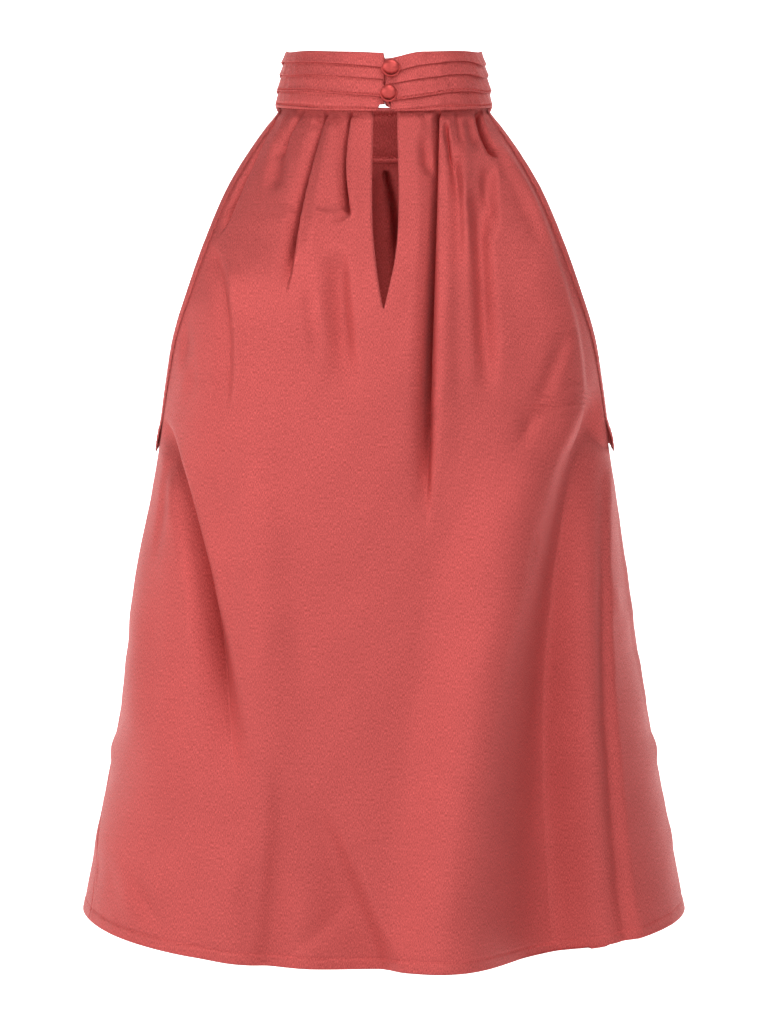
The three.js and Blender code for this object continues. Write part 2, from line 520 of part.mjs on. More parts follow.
// Direction that leaves an edge square to it and stays on the panel for the width of the binding.
function intoPanel(station, along) {
  const { angle, level, point } = station;
  const square = along.clone().cross(outward(angle, level)).normalize();
  const round = basePoint(angle + 0.01, level).sub(basePoint(angle - 0.01, level)).divideScalar(0.02);
  const rise = basePoint(angle, level + 0.5).sub(basePoint(angle, level - 0.5));
  const cross = round.dot(rise);
  const size = round.dot(round) * rise.dot(rise) - cross * cross;
  const turn = (square.dot(round) * rise.dot(rise) - square.dot(rise) * cross) / size;
  const climb = (square.dot(rise) * round.dot(round) - square.dot(round) * cross) / size;
  const far = basePoint(angle + turn * BINDING_LEG, level + climb * BINDING_LEG);
  return far.sub(point).normalize();
}

function armholeBinding(side) {
  const backLevels = panelLevels(11, 9, 1).filter((level) => level >= UNDERARM_LEVEL && level < -2);
  const frontLevels = panelLevels(8, 8, 1).filter((level) => level > UNDERARM_LEVEL && level < -2);
  const place = (panel, level) => {
    const turn = edgeAngle(panel, side, level);
    const fromBack = panel === "back" ? turn : Math.PI - turn;
    const angle = side === "right" ? fromBack : 2 * Math.PI - fromBack;
    return { angle, level, point: basePoint(angle, level) };
  };
  const backEdge = backLevels.map((level) => place("back", level));
  const frontEdge = frontLevels.map((level) => place("front", level));
  const stations = side === "right"
    ? [...backEdge, ...frontEdge.reverse()]
    : [...frontEdge, ...backEdge.reverse()];
  const points = [];
  stations.forEach((station, i) => {
    const before = stations[Math.max(0, i - 1)].point;
    const after = stations[Math.min(stations.length - 1, i + 1)].point;
    const along = after.clone().sub(before).normalize();
    const into = intoPanel(station, along);
    const normal = into.clone().cross(along).normalize();
    for (const [across, out] of bindingSection(station.level)) {
      points.push(station.point.clone().addScaledVector(into, across).addScaledVector(normal, out));
    }
  });
  return sweptSolid(points, 8, [[0, 1, 2, 7], [7, 2, 3, 6], [6, 3, 4, 5]]);
}

// Closed solid from rings of points, with end caps made of the named faces of one ring.
function sweptSolid(points, around, capFaces) {
  const rings = points.length / around;
  const quads = [];
  for (let i = 0; i < rings - 1; i += 1) {
    for (let k = 0; k < around; k += 1) {
      const a = i * around + k;
      const b = i * around + ((k + 1) % around);
      quads.push([a, a + around, b + around, b]);
    }
  }
  const last = (rings - 1) * around;
  for (const [a, b, c, d] of capFaces) {
    quads.push([a, b, c, d], [d + last, c + last, b + last, a + last]);
  }
  return quadSolid(points, quads);
}

// Covered dome buttons on the right-hand end of the band, one above the other.
const BUTTONS = [
  { name: "upper", x: 4.4, share: 0.83, stand: 2.1, across: 10.4, tall: 9.2 },
  { name: "lower", x: 2.9, share: 0.36, stand: 2.3, across: 9.6, tall: 8.9 },
];
const BUTTON_STAND = 2.3;
const BUTTON_DOME = [
  { share: 0.0, out: 0.0 }, { share: 0.72, out: 0.0 }, { share: 0.96, out: 0.8 }, { share: 1.0, out: 1.5 },
  { share: 0.93, out: 2.5 }, { share: 0.72, out: 3.5 }, { share: 0.4, out: 4.2 }, { share: 0.0, out: 4.5 },
];
const SHANK_RADIUS = 1.1;

function buttonCentre(button) {
  const half = mix(BAND_HALF_BOTTOM, BAND_HALF_TOP, button.share);
  return bandPoint(button.share, Math.asin(button.x / half), button.stand);
}

function coveredButton(button) {
  const centre = buttonCentre(button);
  const sides = 16;
  const rings = [
    { radius: SHANK_RADIUS, out: GAP }, { radius: SHANK_RADIUS, out: BUTTON_STAND },
    ...BUTTON_DOME.slice(1, -1).map((line) => ({ share: line.share, out: BUTTON_STAND + line.out })),
  ];
  const points = [];
  for (const ring of rings) {
    for (let k = 0; k < sides; k += 1) {
      const turn = (k / sides) * 2 * Math.PI;
      const wide = ring.radius ?? ring.share * button.across / 2;
      const high = ring.radius ?? ring.share * button.tall / 2;
      points.push(new THREE.Vector3(
        centre.x + wide * Math.cos(turn), centre.y - ring.out, centre.z + high * Math.sin(turn)));
    }
  }
  const foot = points.length;
  points.push(new THREE.Vector3(centre.x, centre.y - GAP, centre.z));
  points.push(new THREE.Vector3(centre.x, centre.y - BUTTON_STAND - BUTTON_DOME.at(-1).out, centre.z));
  const index = [];
  for (let i = 0; i < rings.length - 1; i += 1) {
    for (let k = 0; k < sides; k += 1) {
      const a = i * sides + k;
      const b = i * sides + ((k + 1) % sides);
      index.push(a, b, b + sides, a, b + sides, a + sides);
    }
  }
  const last = (rings.length - 1) * sides;
  for (let k = 0; k < sides; k += 1) {
    const next = (k + 1) % sides;
    index.push(foot, next, k, foot + 1, last + k, last + next);
  }
  const flat = [];
  for (const point of points) flat.push(point.x, point.y, point.z);
  const geometry = new THREE.BufferGeometry();
  geometry.setAttribute("position", new THREE.Float32BufferAttribute(flat, 3));
  geometry.setIndex(index);
  geometry.computeVertexNormals();
  return geometry;
}

// Cord loop from the closing gap round the button's shank and back into the gap.
const CORD_RADIUS = 0.72;

function buttonLoop(button) {
  const centre = buttonCentre(button);
  const turnRadius = SHANK_RADIUS + GAP + CORD_RADIUS;
  const face = centre.y - GAP - CORD_RADIUS;
  const inside = centre.y + 3.2;
  const line = [[BUTT_LINE, inside, turnRadius], [BUTT_LINE, centre.y + 0.6, turnRadius],
    [BUTT_LINE + 0.35, face + 0.25, turnRadius]];
  for (let i = 0; i <= 8; i += 1) {
    const turn = Math.PI / 2 - (i / 8) * Math.PI;
    line.push([centre.x + turnRadius * Math.cos(turn), face, turnRadius * Math.sin(turn)]);
  }
  line.push([BUTT_LINE + 0.35, face + 0.25, -turnRadius], [BUTT_LINE, centre.y + 0.6, -turnRadius],
    [BUTT_LINE, inside, -turnRadius]);
  const path = line.map(([x, y, z]) => new THREE.Vector3(x, y, centre.z + z));
  const around = 6;
  const points = [];
  let across = new THREE.Vector3(0, 0, 1);
  path.forEach((point, i) => {
    const before = path[Math.max(0, i - 1)];
    const after = path[Math.min(path.length - 1, i + 1)];
    const along = after.clone().sub(before).normalize();
    across = across.clone().addScaledVector(along, -across.dot(along)).normalize();
    const beside = along.clone().cross(across);
    for (let k = 0; k < around; k += 1) {
      const turn = (k / around) * 2 * Math.PI;
      points.push(point.clone().addScaledVector(beside, CORD_RADIUS * Math.cos(turn))
        .addScaledVector(across, CORD_RADIUS * Math.sin(turn)));
    }
  });
  return sweptSolid(points, around, [[0, 1, 2, 3], [0, 3, 4, 5]]);
}

const cloth = new THREE.MeshStandardMaterial({ name: "crepe_satin", color: 0xd0655f, roughness: 0.5 });
const cover = new THREE.MeshStandardMaterial({ name: "button_cover", color: 0xcf625e, roughness: 0.45 });

const part = new THREE.Group();
part.name = "halter_neck_top";

function add(name, geometry, material) {
  const mesh = new THREE.Mesh(geometry, material);
  mesh.name = name;
  part.add(mesh);
}

add("back_panel", backPanel(24), cloth);
add("front_panel", frontPanel(32), cloth);
add("neck_band", neckBand(), cloth);
add("neck_band_facing", bandFacing(), cloth);
add("armhole_binding_left", armholeBinding("left"), cloth);
add("armhole_binding_right", armholeBinding("right"), cloth);
for (const button of BUTTONS) {
  add("button_" + button.name, coveredButton(button), cover);
  add("button_loop_" + button.name, buttonLoop(button), cover);
}

export default part;
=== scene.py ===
import math

import bpy
import numpy as np
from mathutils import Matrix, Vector


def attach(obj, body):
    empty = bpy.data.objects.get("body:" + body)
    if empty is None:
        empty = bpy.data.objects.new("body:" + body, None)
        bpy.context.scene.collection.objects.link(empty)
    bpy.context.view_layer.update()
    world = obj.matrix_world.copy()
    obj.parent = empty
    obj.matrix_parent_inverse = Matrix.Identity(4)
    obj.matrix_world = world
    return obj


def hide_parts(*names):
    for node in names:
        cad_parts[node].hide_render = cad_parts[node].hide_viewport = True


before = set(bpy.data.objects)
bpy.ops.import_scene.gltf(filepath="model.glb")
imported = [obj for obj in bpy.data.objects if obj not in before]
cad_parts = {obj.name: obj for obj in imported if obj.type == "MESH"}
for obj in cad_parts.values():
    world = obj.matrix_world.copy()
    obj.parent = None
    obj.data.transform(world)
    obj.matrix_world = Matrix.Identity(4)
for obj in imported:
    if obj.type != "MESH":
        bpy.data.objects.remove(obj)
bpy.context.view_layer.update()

# Halter neck top, seen from the wearer's back and filled out as if worn.
# Lengths in the tables are in millimetres, in the frame of the solids: +Z up, -Y the wearer's back.
MM = 0.001
WALL = 1.4
CLOTH_THICKNESS = 0.9

UNDERARM_LEVEL = -221.0
HEM_LEVEL = -527.0
HEM_WIDTH = 7.0
SEAM_LEVEL = 1.0
TOP_LEVEL = 6.0
KEYHOLE_END_LEVEL = -122.0

# How far the neck seam and the hem hang lower at the middle of each panel.
SEAM_DROP_BACK = 5.0
SEAM_DROP_FRONT = 39.0
HEM_DROP_BACK = 21.0
HEM_DROP_FRONT = 18.0

# Outer sizes of the body at each level, as in the solids.
BODY_COLUMNS = ("level", "half", "ring", "back", "front")
BODY_ROWS = [
    (8, 66.6, 66.9, 48.3, 48.3),
    (-1, 67.6, 68.3, 49.0, 49.0),
    (-6, 71.0, 72.8, 51.2, 51.0),
    (-12, 76.2, 79.2, 54.5, 54.0),
    (-32, 90.2, 98.0, 64.0, 63.0),
    (-53, 102.2, 113.4, 73.0, 74.0),
    (-84, 115.1, 129.0, 84.0, 88.0),
    (-115, 126.1, 138.4, 92.5, 99.0),
    (-146, 135.9, 143.0, 98.0, 107.0),
    (-178, 141.6, 145.4, 102.0, 112.0),
    (-210, 146.4, 147.2, 105.0, 114.5),
    (-221, 147.9, 147.9, 105.8, 114.8),
    (-231, 149.4, 149.4, 106.5, 115.0),
    (-284, 157.6, 157.6, 110.0, 115.5),
    (-369, 169.8, 169.8, 115.0, 117.0),
    (-454, 185.4, 185.4, 120.0, 120.5),
    (-527, 199.4, 199.4, 125.0, 124.0),
]
# How far the front's armhole edges lie inside the back's, and how much flatter than round the body is.
FRONT_INSET = 7.0
FLATNESS = 0.28
# The left side seam swings to the front or back by SWING_DEPTH towards the hem.
SWING_START_LEVEL = -420.0
SWING_DEPTH = 33.0

KEYHOLE_COLUMNS = ("z", "left", "right")
KEYHOLE_ROWS = [
    (10, -6.6, 8.4),
    (-20, -7.2, 8.6),
    (-55, -7.6, 9.4),
    (-80, -7.0, 8.8),
    (-100, -5.2, 6.6),
    (-120, -2.4, 2.4),
    (-131, -0.2, -0.2),
]

# Folds, each run down through three points, x at z. left and right are half widths at the top of
# the fold, left_foot and right_foot at its foot. start, middle and end are heights, a valley below
# zero. soft_top and soft_foot are the lengths over which it dies away. crisp is 1 for a line with
# a sharp bottom or crest and 0 for a soft one.
FOLD_COLUMNS = ("x0", "z0", "x1", "z1", "x2", "z2", "left", "right", "left_foot", "right_foot",
                "start", "middle", "end", "soft_top", "soft_foot", "crisp")
# Creases at the back with a crisp line, which columns of the cloth follow down. lap is how far the
# cloth to the right of the line laps over it.
CREASE_COLUMNS = FOLD_COLUMNS + ("lap",)
BACK_CREASES = [
    (-68, -2, -84, -38, -105, -83, 4.2, 1.4, 7, 2.4, -6.0, -8.0, -7.0, 0.5, 12, 0.8, 1.8),
    (-50, -2, -58, -16, -67, -36, 4.2, 1.4, 6, 2.4, -6.0, -7.6, -4.6, 0.5, 14, 0.8, 1.8),
    (-35, -2, -49.5, -56, -63, -124, 4.2, 1.4, 6, 2.8, -6.6, -10.0, -7.4, 0.5, 40, 0.8, 2.1),
    (-19.5, -2, -23.8, -36, -22, -72, 4.0, 1.4, 4.2, 1.8, -6.0, -9.0, -7.0, 0.5, 7, 0.8, 2.0),
    (36, -2, 33.2, -110, 26, -276, 4.6, 1.5, 11, 5, -6.6, -15.0, -10.0, 0.5, 80, 1.0, 2.4),
    (40, -10, 42, -29, 46, -50, 3.0, 2.4, 4, 4, -3.0, -4.4, -2.4, 4, 18, 0.7, 0.5),
    (62, -3, 66.5, -20, 73, -34, 4.4, 2.4, 6, 3, -8.0, -12.0, -7.0, 1, 5, 0.7, 1.2),
    (-145, -196, -117, -300, -92, -470, 6, 6, 26, 17, -6.0, -17.0, -7.0, 24, 130, 0.6, 0.0),
    (145, -172, 122, -300, 121, -548, 18, 12, 76, 44, -9.0, -29.0, -36.0, 44, 0, 0.1, 0.0),
]
# Soft folds let into the neck seam at the back, beside the creases and between them.
BACK_PLEATS = [
    (-71, -6, -87, -40, -108, -83, 10, 4, 9, 5, -2.2, -3.2, -3.0, 5, 14, 0.1),
    (-53, -6, -61, -17, -69, -36, 9, 4, 7, 4, -2.4, -2.8, -1.6, 4, 12, 0.1),
    (-38, -6, -52, -56, -66, -124, 8, 4, 9, 5, -2.2, -2.8, -3.2, 4, 40, 0.1),
    (-22, -6, -26.5, -36, -25, -70, 7, 3, 5, 3, -2.0, -2.4, -2.0, 4, 8, 0.1),
    (32, -6, 29.5, -110, 22, -276, 9, 4, 14, 6, -2.4, -4.0, -4.0, 4, 90, 0.1),
    (-72, -8, -90, -40, -109, -84, 5, 5, 6, 5, 1.2, 1.8, 1.4, 6, 16, 0.0),
    (-66, -22, -69, -38, -73, -60, 7, 8, 8, 9, -1.8, -2.8, -1.6, 8, 14, 0.0),
    (-33, -8, -43, -62, -50, -112, 4, 8, 9, 12, 1.2, 2.6, 2.0, 6, 34, 0.0),
    (-18, -6, -19, -40, -18, -78, 3, 5, 4, 6, 0.8, 1.2, 1.0, 6, 14, 0.0),
    (-23, -66, -26, -71, -33, -76, 5, 4, 6, 5, -1.0, -2.2, -1.2, 4, 3, 0.1),
    (-29, -88, -27, -118, -20, -190, 14, 7, 18, 10, -4.0, -7.0, -3.6, 18, 50, 0.0),
    (-48, -112, -46, -140, -38, -172, 5, 7, 8, 12, -0.8, -1.5, -1.2, 14, 26, 0.0),
    (-26, -138, -27, -160, -30, -184, 16, 14, 14, 14, -0.8, -1.4, -1.0, 14, 20, 0.0),
    (24, -2, 24.5, -6, 26, -12, 2, 2, 2, 3, -1.2, -1.6, -0.8, 1, 5, 0.6),
    (26, -16, 28, -30, 30, -46, 9, 4, 10, 5, -1.6, -3.6, -2.4, 8, 8, 0.0),
    (39, -6, 38.5, -110, 34, -250, 3, 7, 8, 14, 1.2, 2.8, 2.0, 6, 80, 0.0),
    (45, -24, 46, -44, 48, -68, 6, 5, 7, 5, -0.8, -1.8, -1.0, 10, 16, 0.0),
    (46.5, -3, 49, -18, 49.5, -36, 2.6, 2.4, 3, 3, -1.6, -2.0, -1.0, 2, 12, 0.6),
    (49, -10, 51, -60, 54, -116, 4, 9, 5, 12, 1.0, 3.6, 2.4, 20, 32, 0.4),
    (54, -6, 57, -18, 60, -32, 5, 5, 6, 6, -1.2, -2.2, -1.2, 3, 12, 0.0),
    (57, -48, 62, -96, 66, -196, 9, 8, 12, 10, -3.6, -6.8, -4.6, 18, 50, 0.1),
    (67, -36, 67, -56, 65, -94, 8, 7, 9, 9, -3.0, -5.0, -3.0, 10, 28, 0.0),
    (75, -20, 92, -52, 116, -104, 10, 6, 13, 7, 2.4, 5.6, 3.6, 10, 24, 0.6),
    (108, -84, 114, -98, 120, -110, 3, 3, 3, 3, 0.8, 1.4, 0.8, 8, 8, 0.6),
    (115, -140, 104, -176, 84, -224, 9, 6, 9, 6, -1.8, -2.8, -1.8, 16, 22, 0.3),
]
# The broad folds that run to the hem at the back.
BACK_FALLS = [
    (-112, -88, -101, -124, -106, -214, 12, 4, 12, 6, -2.2, -3.2, -2.0, 8, 40, 0.6),
    (-99, -96, -96, -140, -97, -214, 5, 9, 7, 12, 1.4, 2.4, 1.4, 14, 46, 0.0),
    (-134, -126, -128, -150, -126, -196, 6, 7, 7, 8, -1.4, -2.2, -1.2, 14, 24, 0.1),
    (-142, -230, -148, -340, -142, -480, 22, 18, 34, 34, 1.4, 3.0, 2.0, 60, 90, 0.0),
    (-86, -190, -80, -310, -72, -480, 22, 24, 20, 34, 2.0, 5.0, 3.0, 60, 110, 0.0),
    (-158, -250, -158, -330, -162, -430, 12, 14, 18, 18, 1.5, 3.5, 2.0, 40, 60, 0.0),
    (-140, -226, -142, -258, -146, -300, 3, 4, 4, 6, -1.4, -1.8, -1.0, 8, 26, 0.2),
    (-65, -400, -67, -470, -74, -548, 9, 26, 12, 28, -1.5, -4.5, -5.0, 50, 0, 0.2),
    (-100, -450, -98, -500, -96, -548, 24, 18, 24, 18, 1.0, 3.0, 4.0, 50, 0, 0.0),
    (94, -60, 122, -170, 124, -236, 30, 8, 40, 8, 1.5, 5.0, 5.0, 40, 30, 0.0),
    (96, -200, 64, -350, 38, -548, 48, 34, 44, 66, 7.0, 15.0, 19.0, 60, 0, 0.1),
    (150, -236, 152, -380, 156, -548, 28, 22, 44, 44, -1.5, -4.0, -6.0, 60, 0, 0.0),
    (145, -226, 147, -350, 164, -548, 12, 3.0, 22, 6, -3.0, -5.6, -7.0, 18, 0, 0.4),
    (97, -264, 92, -286, 88, -300, 3, 3, 4, 3, -0.8, -1.6, -0.8, 10, 10, 0.3),
]
# Columns of the cloth are packed beside a crease: how much closer they lie, over what width, how far
# right of its line, and the height over which they open out again past its ends.
PACKING = 4.5
PACKING_WIDTH = 2.6
PACKING_ASIDE = 0.6
PACKING_FADE = 60.0
# How a lapped crease draws the cloth sideways, by the distance right of its line.
LAP_AWAY = (-3.0, -1.2, 0.0, 0.5, 1.0, 1.6, 2.8, 4.5)
LAP_SHIFT = (0.0, 0.35, 1.0, 0.5, -0.5, -1.0, -0.5, 0.0)
# Pleats and falls of the front, which the photograph does not show, on the same plan.
FRONT_FOLDS = [
    (-1, -39, 4, -66, 6, -130, 2.0, 8, 3, 11, 8.0, 14.0, 7.0, 3, 60, 0.8),
    (17, -36, 21, -100, 22, -250, 7, 2.6, 14, 8, -4.0, -6.4, -3.0, 3, 90, 0.8),
    (31, -32, 42, -84, 52, -160, 2.6, 8, 5, 14, -4.0, -5.2, -3.0, 3, 50, 0.9),
    (38, -30, 51, -84, 64, -170, 6, 8, 12, 16, 2.4, 3.6, 2.4, 3, 56, 0.0),
    (52, -20, 70, -70, 90, -150, 2.6, 8, 5, 14, -4.0, -5.0, -3.0, 3, 46, 0.9),
    (-9, -38, -12, -96, -14, -214, 2.6, 6, 7, 12, -4.0, -5.8, -3.0, 3, 70, 0.8),
    (-24, -35, -31, -92, -36, -186, 8, 2.6, 13, 5, -3.6, -5.2, -3.0, 3, 56, 0.9),
    (-32, -32, -44, -90, -50, -190, 7, 6, 14, 12, 2.4, 3.4, 2.0, 3, 60, 0.0),
    (-44, -26, -60, -76, -78, -150, 8, 2.6, 13, 5, -4.2, -5.0, -3.0, 3, 44, 0.9),
    (-58, -14, -78, -62, -98, -130, 7, 2.6, 11, 5, -3.4, -4.2, -3.0, 3, 36, 0.9),
    (120, -220, 112, -350, 118, -548, 14, 12, 36, 26, -5.0, -11.0, -15.0, 60, 0, 0.7),
    (80, -250, 76, -370, 72, -548, 22, 16, 36, 34, 3.0, 8.0, 10.0, 80, 0, 0.0),
    (24, -300, 20, -400, 14, -548, 20, 14, 34, 26, -3.0, -6.5, -10.0, 80, 0, 0.5),
    (-34, -280, -40, -390, -44, -548, 20, 22, 32, 35, 3.0, 6.0, 8.0, 80, 0, 0.0),
    (-86, -240, -94, -360, -104, -548, 18, 12, 32, 24, -5.0, -9.5, -12.0, 70, 0, 0.6),
    (-132, -250, -142, -370, -156, -548, 16, 18, 24, 27, 3.0, 5.0, 6.0, 60, 0, 0.0),
    (-118, -120, -122, -170, -128, -230, 8, 8, 8, 9, -1.4, -2.4, -1.4, 20, 30, 0.2),
    (110, -110, 118, -160, 122, -226, 8, 8, 9, 9, -1.4, -2.6, -1.4, 20, 30, 0.2),
]
# Small soft creases of the cloth itself, too fine for the solids.
FINE_FOLDS = [
    (-40, -3, -43, -9, -45, -17, 2.0, 2.4, 3.2, 3.8, -1.6, -1.4, -0.8, 2, 8, 0.3),
    (-30, -2, -30, -6, -31, -12, 1.6, 1.8, 2.2, 2.5, -1.4, -1.2, -0.8, 2, 6, 0.3),
    (-27, -2, -27, -8, -28, -16, 2.6, 2.4, 3.4, 3.4, -0.9, -1.2, -0.6, 2, 8, 0.0),
    (-14, -2, -14, -6, -13, -12, 1.6, 1.6, 2.2, 2.4, -0.8, -0.8, -0.4, 2, 6, 0.2),
    (30, -2, 30, -10, 30, -22, 2.4, 2.6, 3.4, 3.8, 0.9, 0.9, 0.5, 3, 9, 0.0),
    (16, -2, 16, -6, 17, -12, 1.6, 1.6, 2.0, 2.4, -0.8, -0.8, -0.4, 2, 6, 0.2),
    (66, -5, 67, -9, 69, -14, 1.6, 1.8, 2.0, 2.4, -1.0, -1.2, -0.6, 2, 4, 0.4),
    (-60, -4, -63, -9, -66, -16, 2.0, 1.8, 2.6, 2.4, -0.9, -1.0, -0.5, 2, 6, 0.3),
    (-128, -96, -124, -108, -122, -126, 2.4, 3.0, 3.2, 4.0, -0.8, -1.6, -0.8, 8, 8, 0.4),
    (-124, -150, -126, -170, -128, -190, 5, 5, 6, 6, 0.8, 1.4, 0.8, 14, 14, 0.0),
    (-160, -492, -153, -508, -146, -528, 7, 8, 9, 10, -0.9, -1.5, -1.0, 12, 12, 0.1),
    (-172, -480, -166, -505, -158, -530, 9, 9, 11, 11, 0.7, 1.1, 0.7, 16, 12, 0.0),
    (-50, -430, -28, -484, -2, -548, 24, 12, 60, 16, -2.4, -8.0, -11.0, 34, 0, 0.1),
    (-20, -498, -38, -520, -62, -542, 12, 10, 14, 12, -1.0, -1.8, -1.0, 14, 16, 0.0),
    (-60, -418, -20, -424, 20, -430, 60, 60, 60, 60, -0.1, -0.4, -0.1, 5, 5, 0.0),
    (150, -300, 153, -318, 155, -336, 6, 6, 6, 6, 0.8, 1.2, 0.8, 14, 14, 0.0),
]
PANEL_FOLDS = {
    "back": BACK_CREASES + BACK_PLEATS + BACK_FALLS + FINE_FOLDS,
    "front": FRONT_FOLDS,
}
# Where the slow unevenness of each panel starts.
PANEL_SEEDS = {"back": 0.7, "front": 2.9}

# Rows of cloth down to the keyhole's end, from there to the hem and within the hem.
UPPER_ROWS = 84
MIDDLE_ROWS = 128
HEM_ROWS = 15
HEM_ROWS_HEIGHT = 10.0
HALF_BACK_COLUMNS = 94
FRONT_COLUMNS = 120

# Distances from a side edge over which folds and unevenness come in.
FOLD_EDGE_ROOM = (4.0, 15.0)
RIPPLE_EDGE_ROOM = 20.0
# Short creases beside the side seams: height, reach from the seam, and the level where they are deepest.
PUCKER_HEIGHT = 1.3
PUCKER_REACH = 19.0
PUCKER_LEVEL = -420.0
# Hem: depth of the groove at its stitches, rise of its turned strip and height of its small puckers.
HEM_GROOVE = 0.45
HEM_RIM = 0.3
HEM_PUCKER = 0.16
# Angle that keeps the hem stitches clear of the side seams.
HEM_STITCH_CLEAR = 0.004
HEM_STITCH_STEPS = 1400

# Neck band sizes, as in the solids.
BAND_HALF_BOTTOM = 70.0
BAND_HALF_TOP = 63.4
BAND_DEPTH_BOTTOM = 51.4
BAND_DEPTH_TOP = 48.2
BAND_HEIGHT = 36.0
BAND_EXTRA_FRONT = 4.0
BAND_COLUMNS = 460
FACING_COLUMNS = 240
# The two ends of the band meet at this x. GAP_SHARES and GAP_WIDTHS open below the lower button.
BUTT_LINE = 0.6
GAP_SHARES = (0.0, 0.15, 0.175)
GAP_WIDTHS = (10.4, 7.0, 0.04)
# Free edges of the tucks, as shares of the band's height.
TUCK_EDGES = (0.785, 0.57, 0.275)
# Section of the facing, with grooves at its stitches and a thick lower edge: share and distance out.
FACING_SECTION = [
    (0.95, -4.3), (0.965, -4.5), (0.96, -5.1), (0.93, -5.3), (0.89, -5.3), (0.87, -4.9),
    (0.85, -4.9), (0.83, -5.3), (0.7, -5.3), (0.4, -5.3), (0.2, -5.3), (0.185, -4.9),
    (0.155, -4.9), (0.14, -5.5), (0.1, -5.8), (0.075, -5.6), (0.07, -4.9), (0.09, -4.35),
    (0.5, -4.3),
]
# Rows of stitches round the band and its facing. clear is their angle from the closing.
BAND_STITCH_COLUMNS = ("name", "share", "out", "clear", "wander", "facing", "pitch", "length", "radius")
BAND_STITCHES = [
    ("band_stitches_tuck", 0.31, 1.75, 0.05, True, 1, 2.7, 1.9, 0.42),
    ("band_stitches_bottom", 0.0585, 0.95, 0.1, True, 1, 2.7, 1.9, 0.42),
    ("facing_stitches_low", 0.17, -5.3, 0.1, False, -1, 3.0, 2.1, 0.5),
    ("facing_stitches_high", 0.86, -5.3, 0.1, False, -1, 3.0, 2.1, 0.45),
]
BAND_STITCH_STEPS = 900

# Buttons on the right-hand end of the band.
BUTTON_COLUMNS = ("name", "x", "share", "stand", "across", "tall")
BUTTONS = [
    ("upper", 4.4, 0.84, 1.9, 10.8, 9.6),
    ("lower", 2.9, 0.37, 2.3, 10.0, 9.2),
]
BUTTON_STAND = 2.3
BUTTON_SIDES = 48
SHANK_RADIUS = 1.1
# Dome of a button from its rim underneath to its top: share of its half width, and distance out.
DOME_SECTION = [
    (0.6, -0.02), (0.8, 0.05), (0.92, 0.3), (0.985, 0.8), (1.0, 1.35), (0.985, 1.9), (0.94, 2.5),
    (0.86, 3.05), (0.75, 3.5), (0.6, 3.92), (0.42, 4.25), (0.22, 4.43), (0.0, 4.5),
]
# Nine small gathers of the cloth at a button's rim, which die away over a height.
GATHER_COUNT = 9
GATHER_DEPTH = 0.018
GATHER_HEIGHT = 3.2
CORD_RADIUS = 0.85
LOOP_DEGREES = (188, 205, 222, 240, 258, 276, 294, 312, 330, 345)

# Armhole bindings: width over the panel's edge, and how far they stand off at the underarm.
BINDING_LEG = 4.7
BINDING_STATIONS = 110
UNDERARM_SWELL = {"left": 1.4, "right": 2.6}
# Section of a binding from its outer edge over the armhole to its inner edge: share of its width
# into the panel, and distance out from the middle of the panel's wall.
BINDING_SECTION = [
    (1.0, 0.95), (0.97, 1.2), (0.86, 1.32), (0.55, 1.5), (0.25, 1.55), (0.0, 1.5), (-0.13, 1.25),
    (-0.2, 0.7), (-0.22, 0.0), (-0.2, -0.7), (-0.13, -1.25), (0.0, -1.5), (0.5, -1.5),
    (0.95, -1.35), (1.0, -1.1),
]
BINDING_STITCH_SHARE = 0.84
BINDING_STITCH_OUT = 1.42
BINDING_STITCH_TOP = -8.0


def table(columns, rows):
    """Columns of a table by name, sorted by the first one."""
    data = np.array(sorted(rows), dtype=float)
    return {name: data[:, i] for i, name in enumerate(columns)}


BODY = table(BODY_COLUMNS, BODY_ROWS)
KEYHOLE = table(KEYHOLE_COLUMNS, KEYHOLE_ROWS)


def column(rows, key, name, value):
    """A smooth curve through one column of a table, read at the given key values."""
    keys = rows[key]
    vals = rows[name]
    value = np.clip(np.asarray(value, dtype=float), keys[0], keys[-1])
    i = np.clip(np.searchsorted(keys, value) - 1, 0, len(keys) - 2)
    before = np.maximum(i - 1, 0)
    after = np.minimum(i + 2, len(keys) - 1)
    span = keys[i + 1] - keys[i]
    t = (value - keys[i]) / span
    slope_a = (vals[i + 1] - vals[before]) / (keys[i + 1] - keys[before])
    slope_b = (vals[after] - vals[i]) / (keys[after] - keys[i])
    t2 = t * t
    t3 = t2 * t
    return (vals[i] * (2 * t3 - 3 * t2 + 1) + slope_a * span * (t3 - 2 * t2 + t)
            + vals[i + 1] * (3 * t2 - 2 * t3) + slope_b * span * (t3 - t2))


def body_at(name, level):
    return column(BODY, "level", name, level)


def keyhole_at(name, z):
    return column(KEYHOLE, "z", name, z)


def smooth(start, stop, value):
    t = np.clip((value - start) / (stop - start), 0.0, 1.0)
    return t * t * (3 - 2 * t)


def bell(value, centre, width):
    return np.exp(-((value - centre) / width) ** 2)


def seam_drop(angle):
    c = np.cos(angle)
    back = -SEAM_DROP_BACK * np.maximum(c, 0)
    return back - SEAM_DROP_FRONT * np.maximum(-c, 0) ** 1.4


def hem_drop(angle):
    c = np.cos(angle)
    return -np.where(c > 0, HEM_DROP_BACK, HEM_DROP_FRONT) * np.abs(c) ** 1.5


